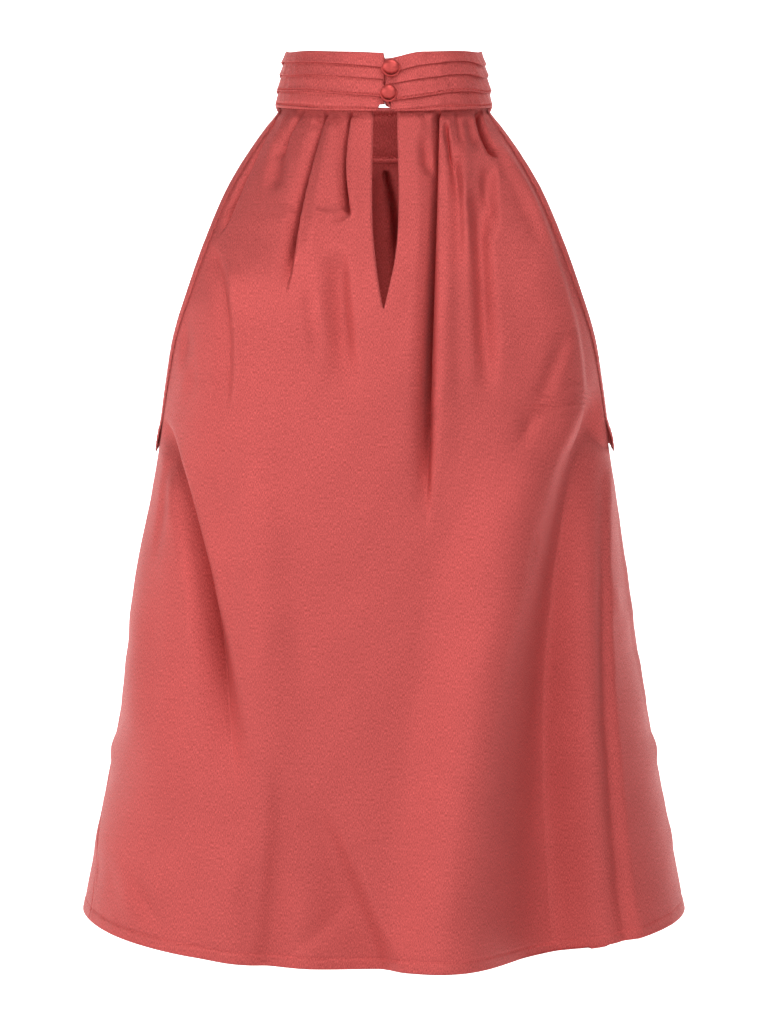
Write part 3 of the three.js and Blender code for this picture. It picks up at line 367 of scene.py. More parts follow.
def edge_angle(panel, side, level):
    """Angle between a panel's own middle and its side edge."""
    level = np.asarray(level, dtype=float)
    t = np.clip((SEAM_LEVEL - level) / (SEAM_LEVEL - UNDERARM_LEVEL), 0.0, 1.0)
    half = body_at("half", level) - WALL / 2
    if panel == "front":
        half = half - FRONT_INSET * np.sin(math.pi * t ** 0.8)
    ring = body_at("ring", level) - WALL / 2
    open_edge = np.arcsin(np.minimum(1.0, half / ring))
    swing = SWING_DEPTH * smooth(SWING_START_LEVEL, HEM_LEVEL, level) if side == "left" else 0.0 * level
    turn = swing if panel == "back" else -swing
    sewn_edge = np.arccos(turn / body_at("back", level))
    return np.where(level > UNDERARM_LEVEL, open_edge, sewn_edge)


def base_point(angle, level):
    """Points in the middle of the wall before any fold, as an array with x, y and z last."""
    c = np.cos(angle)
    depth = np.where(c > 0, body_at("back", level), body_at("front", level)) - WALL / 2
    fall = np.clip((SEAM_LEVEL - level) / (SEAM_LEVEL - HEM_LEVEL), 0.0, 1.0)
    z = level + seam_drop(angle) * (1 - fall) + hem_drop(angle) * fall
    ring = body_at("ring", level) - WALL / 2
    flat = FLATNESS * smooth(-12, -110, level)
    return np.stack([ring * np.sin(angle), -depth * c * (1 + flat * (1 - c * c)), z], axis=-1)


def unit(vectors):
    return vectors / np.linalg.norm(vectors, axis=-1, keepdims=True)


def outward(angle, level):
    step = 0.01
    right = base_point(angle + step, level) - base_point(angle - step, level)
    down = base_point(angle, level - 0.8) - base_point(angle, level + 0.8)
    return unit(np.cross(down, right))


def fold_run(fold, z):
    """How far down a fold each height lies, from 0 to 1, and where its line is there."""
    length = fold["z0"] - fold["z2"]
    run = np.clip((fold["z0"] - z) / length, 0.0, 1.02)
    m = (fold["z0"] - fold["z1"]) / length
    path = (fold["x0"] * ((run - m) * (run - 1)) / m
            + fold["x1"] * (run * (run - 1)) / (m * (m - 1))
            + fold["x2"] * (run * (run - m)) / (1 - m))
    return run, path


def fold_fade(fold, z):
    fade = smooth(0, fold["soft_top"], fold["z0"] - z)
    if fold["soft_foot"] > 0:
        fade = fade * smooth(0, fold["soft_foot"], z - fold["z2"])
    return fade


def fold_height(row, x, z):
    fold = dict(zip(FOLD_COLUMNS, row))
    run, path = fold_run(fold, z)
    away = x - path
    left = fold["left"] + (fold["left_foot"] - fold["left"]) * run
    right = fold["right"] + (fold["right_foot"] - fold["right"]) * run
    share = np.clip(np.abs(away) / np.where(away < 0, left, right), 0.0, 1.0)
    soft = 0.5 + 0.5 * np.cos(math.pi * share)
    sharp = 1.0 - np.sin(math.pi / 2 * share)
    across = soft + (sharp - soft) * fold["crisp"]
    along = np.where(run < 0.5,
                     fold["start"] + (fold["middle"] - fold["start"]) * run * 2,
                     fold["middle"] + (fold["end"] - fold["middle"]) * (run * 2 - 1))
    return along * across * fold_fade(fold, z)


def lap_shift(row, x, z):
    """Sideways move of the cloth beside a lapped crease, less and less towards its foot."""
    fold = dict(zip(CREASE_COLUMNS, row))
    run, path = fold_run(fold, z)
    return (fold["lap"] * np.interp(x - path, LAP_AWAY, LAP_SHIFT)
            * fold_fade(fold, z) * smooth(1.0, 0.5, run))


def crease_angles(start, stop, levels, columns):
    """Angles of a grid's columns at each level, packed closer beside the crisp creases."""
    fine = np.linspace(0.0, 1.0, 900)[None, :]
    angle = start[:, None] * (1 - fine) + stop[:, None] * fine
    ring = (body_at("ring", levels) - WALL / 2)[:, None]
    density = np.ones_like(angle)
    z = base_point(angle, np.repeat(levels[:, None], angle.shape[1], axis=1))[..., 2]
    for row in BACK_CREASES:
        fold = dict(zip(CREASE_COLUMNS, row))
        run, path = fold_run(fold, z)
        near = smooth(PACKING_FADE, 0, z - fold["z0"]) * smooth(PACKING_FADE, 0, fold["z2"] - z)
        away = ring * np.sin(angle) - path
        density += PACKING * near * bell(away, PACKING_ASIDE, PACKING_WIDTH)
    total = np.concatenate([np.zeros((len(levels), 1)),
                            np.cumsum((density[:, 1:] + density[:, :-1]) / 2, axis=1)], axis=1)
    shares = np.linspace(0.0, 1.0, columns)
    return np.stack([np.interp(shares * total[i, -1], total[i], angle[i]) for i in range(len(levels))])


def ripple(x, z, seed):
    """Slow unevenness of hanging cloth, a few tenths of a millimetre."""
    a = np.sin(x * 0.061 + seed) * np.sin(z * 0.037 + 1.7 * seed)
    b = np.sin(x * 0.113 - z * 0.029 + 2.3 * seed) * np.sin(z * 0.071 - x * 0.021 + seed)
    c = np.sin(x * 0.27 + z * 0.05 + seed) * np.sin(z * 0.19 - x * 0.11 + 3.1 * seed)
    return 0.45 * a + 0.3 * b + 0.09 * c


def side_puckers(x, z, level, edge_room):
    """Short sideways creases where the side seams draw the cloth up."""
    below = smooth(UNDERARM_LEVEL - 6, UNDERARM_LEVEL - 40, level)
    wave = np.sin(z * 0.115 + 0.9 * np.sin(z * 0.031)) + 0.6 * np.sin(z * 0.21 + 2.0)
    amount = 0.25 + 0.75 * bell(z, PUCKER_LEVEL, 80)
    reach = np.exp(-edge_room / PUCKER_REACH) * smooth(0.0, 4.0, edge_room)
    return PUCKER_HEIGHT * wave * amount * below * reach


def panel_height(panel, x, z, level, edge_room):
    """Height of a panel's outer face over its plain form."""
    total = np.zeros_like(x)
    for row in PANEL_FOLDS[panel]:
        total += fold_height(row, x, z)
    total *= smooth(*FOLD_EDGE_ROOM, edge_room)
    total += ripple(x, z, PANEL_SEEDS[panel]) * smooth(0.0, RIPPLE_EDGE_ROOM, edge_room)
    total *= smooth(SEAM_LEVEL, SEAM_LEVEL - 4.0, level)
    total += side_puckers(x, z, level, edge_room)
    rise = level - HEM_LEVEL
    total -= HEM_GROOVE * bell(rise, HEM_WIDTH, 0.9)
    total += HEM_RIM * smooth(HEM_WIDTH + 0.5, HEM_WIDTH - 1.5, rise)
    wave = np.sin(x * 0.75 + 1.3 * np.sin(x * 0.13))
    total += HEM_PUCKER * wave * bell(rise, HEM_WIDTH - 1, 5.0)
    return total


def face_grid(rows, columns, flip=False):
    """Four-cornered faces of a grid of points, rows running down and columns to the right."""
    r, c = np.meshgrid(np.arange(rows - 1), np.arange(columns - 1), indexing="ij")
    a = (r * columns + c).ravel()
    quads = np.stack([a, a + columns, a + columns + 1, a + 1], axis=1)
    return quads[:, ::-1] if flip else quads


def make_object(name, points, faces, uv, material):
    """A smooth mesh object from millimetre points, with one texture place a point."""
    mesh = bpy.data.meshes.new(name)
    mesh.from_pydata((np.asarray(points) * MM).tolist(), [], [list(face) for face in faces])
    layer = mesh.uv_layers.new(name="cloth")
    index = np.zeros(len(mesh.loops), dtype=np.int32)
    mesh.loops.foreach_get("vertex_index", index)
    layer.data.foreach_set("uv", (np.asarray(uv, dtype=float)[index] * MM).ravel())
    mesh.polygons.foreach_set("use_smooth", [True] * len(mesh.polygons))
    mesh.materials.append(material)
    mesh.update()
    obj = bpy.data.objects.new(name, mesh)
    bpy.context.scene.collection.objects.link(obj)
    return obj


def thicken(obj):
    """Give a single sheet its cloth thickness, towards the inside."""
    solid = obj.modifiers.new("cloth_thickness", "SOLIDIFY")
    solid.thickness = CLOTH_THICKNESS * MM
    solid.offset = -1.0
    solid.use_even_offset = False


def arc_lengths(points):
    """Distance along each row of a grid of points."""
    gaps = np.linalg.norm(np.diff(points, axis=1), axis=-1)
    return np.concatenate([np.zeros((points.shape[0], 1)), np.cumsum(gaps, axis=1)], axis=1)


def path_length(points):
    """Distance along a line of points, from its first one."""
    gaps = np.linalg.norm(np.diff(points, axis=0), axis=1)
    return np.concatenate([[0], np.cumsum(gaps)])


def panel_levels():
    upper = np.linspace(TOP_LEVEL, KEYHOLE_END_LEVEL, UPPER_ROWS)
    hem_top = HEM_LEVEL + HEM_ROWS_HEIGHT
    middle = np.linspace(KEYHOLE_END_LEVEL, hem_top, MIDDLE_ROWS)[1:]
    hem = np.linspace(hem_top, HEM_LEVEL, HEM_ROWS)[1:]
    return np.concatenate([upper, middle, hem])


def seam_clear(level):
    """Angle that leaves the sewn edges a hair apart."""
    return np.where(level <= UNDERARM_LEVEL, 0.1 / body_at("back", level), 0.0)


def panel_span(panel, level):
    """Angles at a panel's two side edges at each level, the lower angle first."""
    if panel == "back":
        return -edge_angle("back", "left", level), edge_angle("back", "right", level)
    return math.pi - edge_angle("front", "right", level), math.pi + edge_angle("front", "left", level)


def half_back(side, levels, columns):
    """One half of the back, from its side edge to the keyhole or the middle."""
    centre = base_point(np.zeros_like(levels), levels)
    ring = body_at("ring", levels) - WALL / 2
    split = levels > KEYHOLE_END_LEVEL + 0.01
    end_x = keyhole_at("left", np.array(float(KEYHOLE_ROWS[-1][0])))
    cut = np.where(split, keyhole_at(side, centre[:, 2]), end_x)
    start, stop = panel_span("back", levels)
    if side == "left":
        start = start + seam_clear(levels)
        stop = np.arcsin(np.minimum(cut, end_x) / ring)
    else:
        start = np.arcsin(np.maximum(cut, end_x) / ring)
        stop = stop - seam_clear(levels)
    angle = crease_angles(start, stop, levels, columns)
    level = np.repeat(levels[:, None], columns, axis=1)
    away = (angle - start[:, None]) if side == "left" else (stop[:, None] - angle)
    return angle, level, away * body_at("back", level)


def raised(panel, angle, level, edge_room):
    """Points of a panel's outer face with its folds, and the directions out of its plain form."""
    base = base_point(angle, level)
    normal = outward(angle, level)
    height = panel_height(panel, base[..., 0], base[..., 2], level, edge_room)
    points = base + normal * (height + WALL / 2)[..., None]
    if panel == "back":
        shift = sum(lap_shift(row, base[..., 0], base[..., 2]) for row in BACK_CREASES if row[-1] > 0)
        shift = shift * smooth(0.5, -5.0, level)
        aside = unit(base_point(angle + 0.01, level) - base_point(angle - 0.01, level))
        points = points + aside * shift[..., None]
    return points, normal


def build_back(material):
    """The back panel: two halves, one sheet below the keyhole and parted by it above."""
    levels = panel_levels()
    left = half_back("left", levels, HALF_BACK_COLUMNS)
    right = half_back("right", levels, HALF_BACK_COLUMNS)
    angle = np.concatenate([left[0], right[0]], axis=1)
    level = np.concatenate([left[1], right[1]], axis=1)
    room = np.concatenate([left[2], right[2]], axis=1)
    points = raised("back", angle, level, room)[0]
    rows, wide = angle.shape
    faces = face_grid(rows, wide)
    closed = levels <= KEYHOLE_END_LEVEL + 0.01
    seam = HALF_BACK_COLUMNS - 1
    keep = (faces[:, 0] % wide) != seam
    faces = faces[keep]
    merge = np.arange(rows * wide).reshape(rows, wide)
    merge[closed, seam + 1] = merge[closed, seam]
    faces = merge.ravel()[faces]
    used = np.unique(faces)
    place = np.zeros(rows * wide, dtype=int)
    place[used] = np.arange(len(used))
    along = arc_lengths(points)
    along = along - along[:, [seam]]
    uv = np.stack([along, points[..., 2]], axis=-1)
    obj = make_object("back_panel_cloth", points.reshape(-1, 3)[used], place[faces],
                      uv.reshape(-1, 2)[used], material)
    thicken(obj)
    return obj


def build_front(material):
    levels = panel_levels()[::2]
    levels[-1] = HEM_LEVEL
    start, stop = panel_span("front", levels)
    start = start + seam_clear(levels)
    stop = stop - seam_clear(levels)
    share = np.linspace(0.0, 1.0, FRONT_COLUMNS)[None, :]
    angle = start[:, None] * (1 - share) + stop[:, None] * share
    level = np.repeat(levels[:, None], FRONT_COLUMNS, axis=1)
    room = np.minimum(angle - start[:, None], stop[:, None] - angle) * body_at("front", level)
    points = raised("front", angle, level, room)[0]
    along = arc_lengths(points)
    uv = np.stack([along - along[:, [FRONT_COLUMNS // 2]], points[..., 2]], axis=-1)
    obj = make_object("front_panel_cloth", points.reshape(-1, 3), face_grid(*angle.shape),
                      uv.reshape(-1, 2), material)
    thicken(obj)
    return obj


def band_point(share, angle, out):
    """Point of the neck band, as in the solids."""
    half = BAND_HALF_BOTTOM + (BAND_HALF_TOP - BAND_HALF_BOTTOM) * share
    depth = BAND_DEPTH_BOTTOM + (BAND_DEPTH_TOP - BAND_DEPTH_BOTTOM) * share
    c = np.cos(angle)
    s = np.sin(angle)
    extra = np.maximum(-c, 0) * BAND_EXTRA_FRONT
    normal = unit(np.stack([s / half, -c / depth, 0 * c], axis=-1))
    bottom = SEAM_LEVEL + seam_drop(angle)
    deep = np.where(s > 0, 4.2, 0.6) * (np.maximum(c - 0.9, 0) * 10) ** np.where(s > 0, 3.2, 6.0)
    dip = (deep - 2.2 * smooth(0.2, 0.75, c)) * share
    point = np.stack([half * s, -depth * c, bottom + share * (BAND_HEIGHT + extra) - dip], axis=-1)
    return point + normal * np.asarray(out)[..., None]


def band_profile():
    """Outer face of the band from its top edge down, as share of the height and distance out.

    Each tuck swells to its free edge, rolls under it and starts again behind the next."""
    lines = [(0.985, -0.75), (0.996, -0.3), (1.0, 0.15), (0.994, 0.6), (0.98, 0.85)]
    top = 0.96
    for edge in TUCK_EDGES:
        for step in np.linspace(0.0, 1.0, 7)[1:]:
            lines.append((top + (edge + 0.014 - top) * step, 0.9 + 1.35 * step ** 1.3))
        if edge == TUCK_EDGES[-1]:
            lines[-1:] = [(edge + 0.05, 2.15), (edge + 0.04, 1.5), (edge + 0.03, 1.5), (edge + 0.02, 2.3)]
        lines += [(edge + 0.005, 2.4), (edge - 0.004, 2.1), (edge, 1.6), (edge + 0.012, 1.1),
                  (edge + 0.02, 0.5), (edge + 0.012, 0.3)]
        top = edge - 0.01
    for step in np.linspace(0.0, 1.0, 7)[1:]:
        lines.append((top + (0.075 - top) * step, 0.8 + 0.5 * step))
    lines += [(0.065, 0.7), (0.052, 0.7), (0.042, 1.35), (0.012, 1.3), (0.0, 0.75), (0.0, 0.2),
              (0.006, -0.4), (0.012, -0.8)]
    return lines


def band_ends(share):
    """Gap between the two ends of the band at each share of its height."""
    return np.interp(share, GAP_SHARES, GAP_WIDTHS)


def band_wave(angle, share, which):
    """Tucks wander a little in height and stand out unevenly."""
    rise = 0.006 * np.sin(angle * 3 + which * 1.9) + 0.005 * np.sin(angle * 8 + which)
    turn = np.where(angle > math.pi, angle - 2 * math.pi, angle)
    back = np.clip(np.cos(angle) * 4, 0, 1) * smooth(1.0, 0.9, share) * smooth(0.0, 0.15, share)
    sweep = np.interp(turn, (-1.2, -0.8, -0.35, -0.02, 0.02, 0.3, 0.65, 0.95, 1.3),
                      (0.03, 0.03, 0.01, -0.03, -0.075, -0.03, 0.03, 0.035, -0.02))
    rise = rise + sweep * back
    out = 0.16 * np.sin(angle * 11 + which * 2.3) + 0.12 * np.sin(angle * 23 + which * 0.7)
    out += 0.1 * np.sin(angle * 47 + share * 9)
    return rise, out


def band_surface(share, out, angle, wander):
    """Point of the band or its facing, with the tucks' unevenness where wander is set."""
    if wander:
        which = np.searchsorted(-np.array(TUCK_EDGES), -share - 0.02)
        rise, stand = band_wave(angle, share, which)
        inside = smooth(0.0, 0.06, share) * smooth(1.0, 0.94, share)
        share = share + rise * inside
        out = out + stand * inside * np.where(out > 0.5, 1.0, 0.0)
    return band_point(share, angle, out)


def ring_sheet(name, lines, columns, material, wander):
    """A closed strip swept round the neck from one end of the band to the other."""
    share0 = np.array([line[0] for line in lines])
    out0 = np.array([line[1] for line in lines])
    half = BAND_HALF_BOTTOM + (BAND_HALF_TOP - BAND_HALF_BOTTOM) * share0
    gap = band_ends(share0)
    start = np.arcsin((BUTT_LINE + gap / 2) / half)
    stop = 2 * math.pi + np.arcsin((BUTT_LINE - gap / 2) / half)
    t = np.linspace(0.0, 1.0, columns)[None, :]
    angle = start[:, None] * (1 - t) + stop[:, None] * t
    share = np.repeat(share0[:, None], columns, axis=1)
    out = np.repeat(out0[:, None], columns, axis=1)
    points = band_surface(share, out, angle, wander)
    rows = len(lines)
    faces = []
    for r in range(rows):
        below = (r + 1) % rows
        a = np.arange(columns - 1)
        faces.append(np.stack([r * columns + a, below * columns + a,
                               below * columns + a + 1, r * columns + a + 1], axis=1))
    faces = np.concatenate(faces).tolist()
    faces.append([r * columns for r in range(rows)][::-1])
    faces.append([r * columns + columns - 1 for r in range(rows)])
    along = angle * BAND_DEPTH_BOTTOM
    drop = path_length(points[:, 0])
    uv = np.stack([along, np.repeat(-drop[:, None], columns, axis=1)], axis=-1)
    return make_object(name, points.reshape(-1, 3), faces, uv.reshape(-1, 2), material)


def stitches(name, line, normals, material, pitch, length, radius):
    """A row of thread stitches along a line of points, each a small rounded bar."""
    run = path_length(line)
    points = []
    faces = []
    at = pitch * 0.5
    while at + length < run[-1]:
        ends = np.array([at, at + length * 0.5, at + length])
        place = np.stack([np.interp(ends, run, line[:, k]) for k in range(3)], axis=1)
        up = np.array([np.interp(ends[1], run, normals[:, k]) for k in range(3)])
        along = unit(place[2] - place[0])
        side = unit(np.cross(along, up))
        up = np.cross(side, along)
        first = len(points)
        points.append(place[0] - up * radius * 0.8)
        for share, size, lift in ((0.2, 0.85, 0.0), (0.5, 1.0, 0.12), (0.8, 0.85, 0.0)):
            middle = place[0] + (place[2] - place[0]) * share + up * lift
            for k in range(6):
                turn = k * math.pi / 3
                points.append(middle + (side * math.cos(turn) + up * math.sin(turn)) * radius * size)
        points.append(place[2] - up * radius * 0.8)
        for k in range(6):
            n = (k + 1) % 6
            faces.append([first, first + 1 + n, first + 1 + k])
            for ring in (0, 6):
                a = first + 1 + ring
                faces.append([a + k, a + n, a + n + 6, a + k + 6])
            faces.append([first + 19, first + 13 + k, first + 13 + n])
        at += pitch
    uv = np.zeros((len(points), 2))
    return make_object(name, points, faces, uv, material)


def binding_stations(side, count):
    """Edge points of an armhole from one end of the band to the other, with their frames."""
    t = np.linspace(0.0, 1.0, count)
    levels = -1.5 + (UNDERARM_LEVEL + 1.5) * (1 - (1 - t) ** 1.7)
    back = edge_angle("back", side, levels)
    front = math.pi - edge_angle("front", side, levels)
    level = np.concatenate([levels, levels[::-1][1:]])
    if side == "right":
        return np.concatenate([back, front[::-1][1:]]), level
    return np.concatenate([2 * math.pi - front, (2 * math.pi - back)[::-1][1:]]), level


def binding_frames(angle, level):
    """Points on the armhole edge, with the ways into the panel's cloth and out of its face.

    The way into the panel is followed a little along the curved cloth, so that the binding lies on it."""
    point = base_point(angle, level)
    along = unit(np.gradient(point, axis=0))
    normal = outward(angle, level)
    into = unit(np.cross(along, normal))
    turn = (base_point(angle + 0.01, level) - base_point(angle - 0.01, level)) / 0.02
    rise = base_point(angle, level + 0.5) - base_point(angle, level - 0.5)
    tt = np.sum(turn * turn, axis=1)
    rr = np.sum(rise * rise, axis=1)
    tr = np.sum(turn * rise, axis=1)
    it = np.sum(into * turn, axis=1)
    ir = np.sum(into * rise, axis=1)
    size = tt * rr - tr * tr
    a = (it * rr - ir * tr) / size
    b = (ir * tt - it * tr) / size
    reach = BINDING_LEG - 0.1
    far = base_point(angle + a * reach, level + b * reach)
    into = unit(far - point)
    normal = unit(np.cross(into, along))
    return point, into, normal


def build_binding(side, material, thread):
    """Strip folded over an armhole edge, narrower under the band, and its row of stitches."""
    angle, level = binding_stations(side, BINDING_STATIONS)
    point, into, normal = binding_frames(angle, level)
    leg = BINDING_LEG * (1 - 0.5 * smooth(-14, -3, level))
    run = path_length(point)
    pucker = 0.12 * np.sin(run * 1.15 + np.sin(run * 0.21)) + 0.07 * np.sin(run * 2.3)
    swell = UNDERARM_SWELL[side] * smooth(-198, -216, level)
    points = []
    for across, out in BINDING_SECTION:
        lift = out + np.where(out > 0, pucker + swell, 0.0) * (1.0 if across > 0 else 0.4)
        points.append(point + into * (leg * across)[:, None] + normal * lift[:, None])
    points = np.stack(points, axis=0)
    rows, count = points.shape[:2]
    faces = face_grid(rows, count)
    width = path_length(points[:, count // 2])
    uv = np.stack([np.repeat(width[:, None], count, axis=1),
                   np.repeat(run[None, :], rows, axis=0)], axis=-1)
    obj = make_object("armhole_binding_%s_cloth" % side, points.reshape(-1, 3), faces,
                      uv.reshape(-1, 2), material)
    line = (point + into * (leg * BINDING_STITCH_SHARE)[:, None]
            + normal * (BINDING_STITCH_OUT + swell)[:, None])
    keep = level < BINDING_STITCH_TOP
    row = stitches("armhole_stitches_%s" % side, line[keep], normal[keep], thread, 2.9, 2.0, 0.2)
    return obj, row


def hem_line(panel, rise, count):
    """Points and normals along a panel's hem at one height above its edge."""
    level = np.full(count, HEM_LEVEL + rise)
    starts, stops = panel_span(panel, level)
    start = starts[0] + HEM_STITCH_CLEAR
    stop = stops[0] - HEM_STITCH_CLEAR
    angle = np.linspace(start, stop, count)
    room = np.minimum(angle - start, stop - angle) * body_at(panel, level)
    points, normal = raised(panel, angle, level, room)
    return points + normal * 0.06, normal


def band_line(share, out, clear, wander):
    """Points and normals round the band at one height, clear of its closing by an angle."""
    angle = np.linspace(clear, 2 * math.pi - clear, BAND_STITCH_STEPS)
    points = band_surface(np.full_like(angle, share), np.full_like(angle, out), angle, wander)
    normal = unit(points * np.array([1, 1, 0]))
    return points, normal


def button_centre(button):
    half = BAND_HALF_BOTTOM + (BAND_HALF_TOP - BAND_HALF_BOTTOM) * button["share"]
    angle = np.array([math.asin(button["x"] / half)])
    return band_point(np.array([button["share"]]), angle, np.array([button["stand"]]))[0]


def build_button(button, material):
    """Cloth drawn over a dome, gathered a little at its rim, on a short shank."""
    centre = button_centre(button)
    sides = BUTTON_SIDES
    profile = [(0.0, 0.3, True), (1.0, 0.3, True), (1.0, BUTTON_STAND - 0.2, True)]
    profile += [(share, BUTTON_STAND + out, False) for share, out in DOME_SECTION]
    points = []
    for share, out, shank in profile:
        fade = 1 - min(1.0, max(0.0, (out - BUTTON_STAND) / GATHER_HEIGHT))
        for k in range(sides):
            turn = k * 2 * math.pi / sides
            gather = 1 + GATHER_DEPTH * math.sin(turn * GATHER_COUNT + 1.0) * fade
            wide = (SHANK_RADIUS * share) if shank else share * button["across"] / 2 * gather
            high = (SHANK_RADIUS * share) if shank else share * button["tall"] / 2 * gather
            points.append((centre[0] + wide * math.cos(turn), centre[1] - out,
                           centre[2] + high * math.sin(turn)))
    points = np.array(points)
    rows = len(profile)
    faces = []
    for r in range(rows - 1):
        for k in range(sides):
            n = (k + 1) % sides
            faces.append([r * sides + k, r * sides + n, (r + 1) * sides + n, (r + 1) * sides + k])
    uv = points[:, [0, 2]]
    return make_object("button_%s_covered" % button["name"], points, faces, uv, material)


def build_loop(button, material):
    """Cord loop of turned cloth from the closing gap, hanging round the button under its dome."""
    centre = button_centre(button)
    face = centre[1] - 0.35 - CORD_RADIUS
    wide = button["across"] / 2 + 0.3
    deep = button["tall"] / 2 + 1.3
    line = [(BUTT_LINE, centre[1] + 2.6, 1.2), (BUTT_LINE, centre[1] + 0.6, 1.1),
            (BUTT_LINE - 0.5, face + 0.1, 0.7)]
    for degrees in LOOP_DEGREES:
        turn = math.radians(degrees)
        line.append((centre[0] + wide * math.cos(turn), face, deep * math.sin(turn)))
    line += [(centre[0] + wide * 0.9, face + 0.1, 1.0), (centre[0] + wide * 0.4, face + 0.2, 2.6),
             (centre[0] - 0.6, face + 0.3, 2.9), (BUTT_LINE, centre[1] + 0.8, 2.6),
             (BUTT_LINE, centre[1] + 2.6, 2.4)]
    curve = bpy.data.curves.new("button_loop_%s_cord" % button["name"], "CURVE")
    curve.dimensions = "3D"
    curve.bevel_depth = CORD_RADIUS * MM
    curve.bevel_resolution = 4
    curve.use_fill_caps = True
    spline = curve.splines.new("NURBS")
    spline.points.add(len(line) - 1)
    for place, (x, y, z) in zip(spline.points, line):
        place.co = (x * MM, y * MM, (centre[2] + z) * MM, 1.0)
    spline.order_u = 3
    spline.use_endpoint_u = True
    spline.resolution_u = 6
    curve.materials.append(material)
    obj = bpy.data.objects.new(curve.name, curve)
    bpy.context.scene.collection.objects.link(obj)
    return obj


def map_range(tree, value, before, after):
    """Node that takes a value from one range to another. Returns the node."""
    made = tree.nodes.new("ShaderNodeMapRange")
    for name, number in (("From Min", before[0]), ("From Max", before[1]),
                         ("To Min", after[0]), ("To Max", after[1])):
        made.inputs[name].default_value = number
    tree.links.new(value, made.inputs["Value"])
    return made


def noise(tree, place, scale, roughness=0.5, distortion=0.0):
    """Noise texture node at a place given by another node's output. Returns its value."""
    made = tree.nodes.new("ShaderNodeTexNoise")
    made.inputs["Scale"].default_value = scale
    made.inputs["Detail"].default_value = 3.0
    made.inputs["Roughness"].default_value = roughness
    made.inputs["Distortion"].default_value = distortion
    tree.links.new(place, made.inputs["Vector"])
    return made.outputs["Fac"]


# Slow changes of tone, how much they darken, and the depth of the crepe grain in metres.
SLOW_TONE_SCALE = 26.0
SLOW_TONE_SHARE = 0.22
GRAIN_DEPTH = 0.0004


def cloth_material(name, tones, grain, roughness, bump):
    """Crepe satin: fine upright grain over a soft sheen, with slow changes of tone."""
    material = bpy.data.materials.new(name)
    material.use_nodes = True
    tree = material.node_tree
    tree.nodes.clear()
    link = tree.links.new
    out = tree.nodes.new("ShaderNodeOutputMaterial")
    shader = tree.nodes.new("ShaderNodeBsdfPrincipled")
    link(shader.outputs["BSDF"], out.inputs["Surface"])
    shader.inputs["Metallic"].default_value = 0.62
    shader.inputs["Specular IOR Level"].default_value = 0.22
    shader.inputs["Specular Tint"].default_value = (1.0, 0.85, 0.83, 1.0)
    shader.inputs["Sheen Weight"].default_value = 0.06
    shader.inputs["Sheen Roughness"].default_value = 0.35
    shader.inputs["Sheen Tint"].default_value = (1.0, 0.75, 0.72, 1.0)
    uv = tree.nodes.new("ShaderNodeUVMap")
    uv.uv_map = "cloth"
    upright = tree.nodes.new("ShaderNodeMapping")
    upright.inputs["Scale"].default_value = (grain[0], grain[1], 1.0)
    link(uv.outputs["UV"], upright.inputs["Vector"])
    crepe = noise(tree, upright.outputs["Vector"], 1.0, 0.62, 0.2)
    slow = noise(tree, uv.outputs["UV"], SLOW_TONE_SCALE)
    flecks = map_range(tree, crepe, (0.3, 0.72), (0.0, 1.0))
    fine = tree.nodes.new("ShaderNodeMix")
    fine.data_type = "RGBA"
    fine.inputs["A"].default_value = tones[0]
    fine.inputs["B"].default_value = tones[1]
    link(flecks.outputs["Result"], fine.inputs["Factor"])
    broad = tree.nodes.new("ShaderNodeMix")
    broad.data_type = "RGBA"
    broad.blend_type = "MULTIPLY"
    broad.inputs["Factor"].default_value = SLOW_TONE_SHARE
    link(fine.outputs["Result"], broad.inputs["A"])
    shade = map_range(tree, slow, (0.3, 0.7), (0.78, 1.0))
    link(shade.outputs["Result"], broad.inputs["B"])
    link(broad.outputs["Result"], shader.inputs["Base Color"])
    gloss = map_range(tree, crepe, (0.0, 1.0), (roughness + 0.1, roughness - 0.06))
    link(gloss.outputs["Result"], shader.inputs["Roughness"])
    relief = tree.nodes.new("ShaderNodeBump")
    relief.inputs["Strength"].default_value = bump
    relief.inputs["Distance"].default_value = GRAIN_DEPTH
    link(crepe, relief.inputs["Height"])
    link(relief.outputs["Normal"], shader.inputs["Normal"])
    return material


def plain_material(name, color, roughness, glow=0.0):
    material = bpy.data.materials.new(name)
    material.use_nodes = True
    shader = material.node_tree.nodes["Principled BSDF"]
    shader.inputs["Base Color"].default_value = color
    shader.inputs["Roughness"].default_value = roughness
    if glow:
        shader.inputs["Emission Color"].default_value = (1.0, 1.0, 1.0, 1.0)
        shader.inputs["Emission Strength"].default_value = glow
    return material


# Materials.
satin = cloth_material("coral_crepe_satin", ((0.37, 0.050, 0.047, 1.0), (0.80, 0.150, 0.141, 1.0)),
                       (2500.0, 620.0), 0.44, 1.2)
covered = cloth_material("coral_covered_button", ((0.52, 0.068, 0.062, 1.0), (0.66, 0.098, 0.090, 1.0)),
                         (420.0, 900.0), 0.42, 0.4)
thread = cloth_material("coral_thread", ((0.6, 0.1, 0.092, 1.0), (0.74, 0.15, 0.14, 1.0)),
                        (3000.0, 3000.0), 0.55, 0.3)

# Panels.
back = build_back(satin)
front = build_front(satin)
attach(back, "root")
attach(front, "root")
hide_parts("back_panel")
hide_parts("front_panel")

# Neck band, its facing and their stitching.
band = ring_sheet("neck_band_tucked", band_profile(), BAND_COLUMNS, satin, True)
facing = ring_sheet("neck_band_facing_cloth", FACING_SECTION, FACING_COLUMNS, satin, False)
for piece, name in ((band, "neck_band"), (facing, "neck_band_facing")):
    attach(piece, "root")
    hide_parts(name)

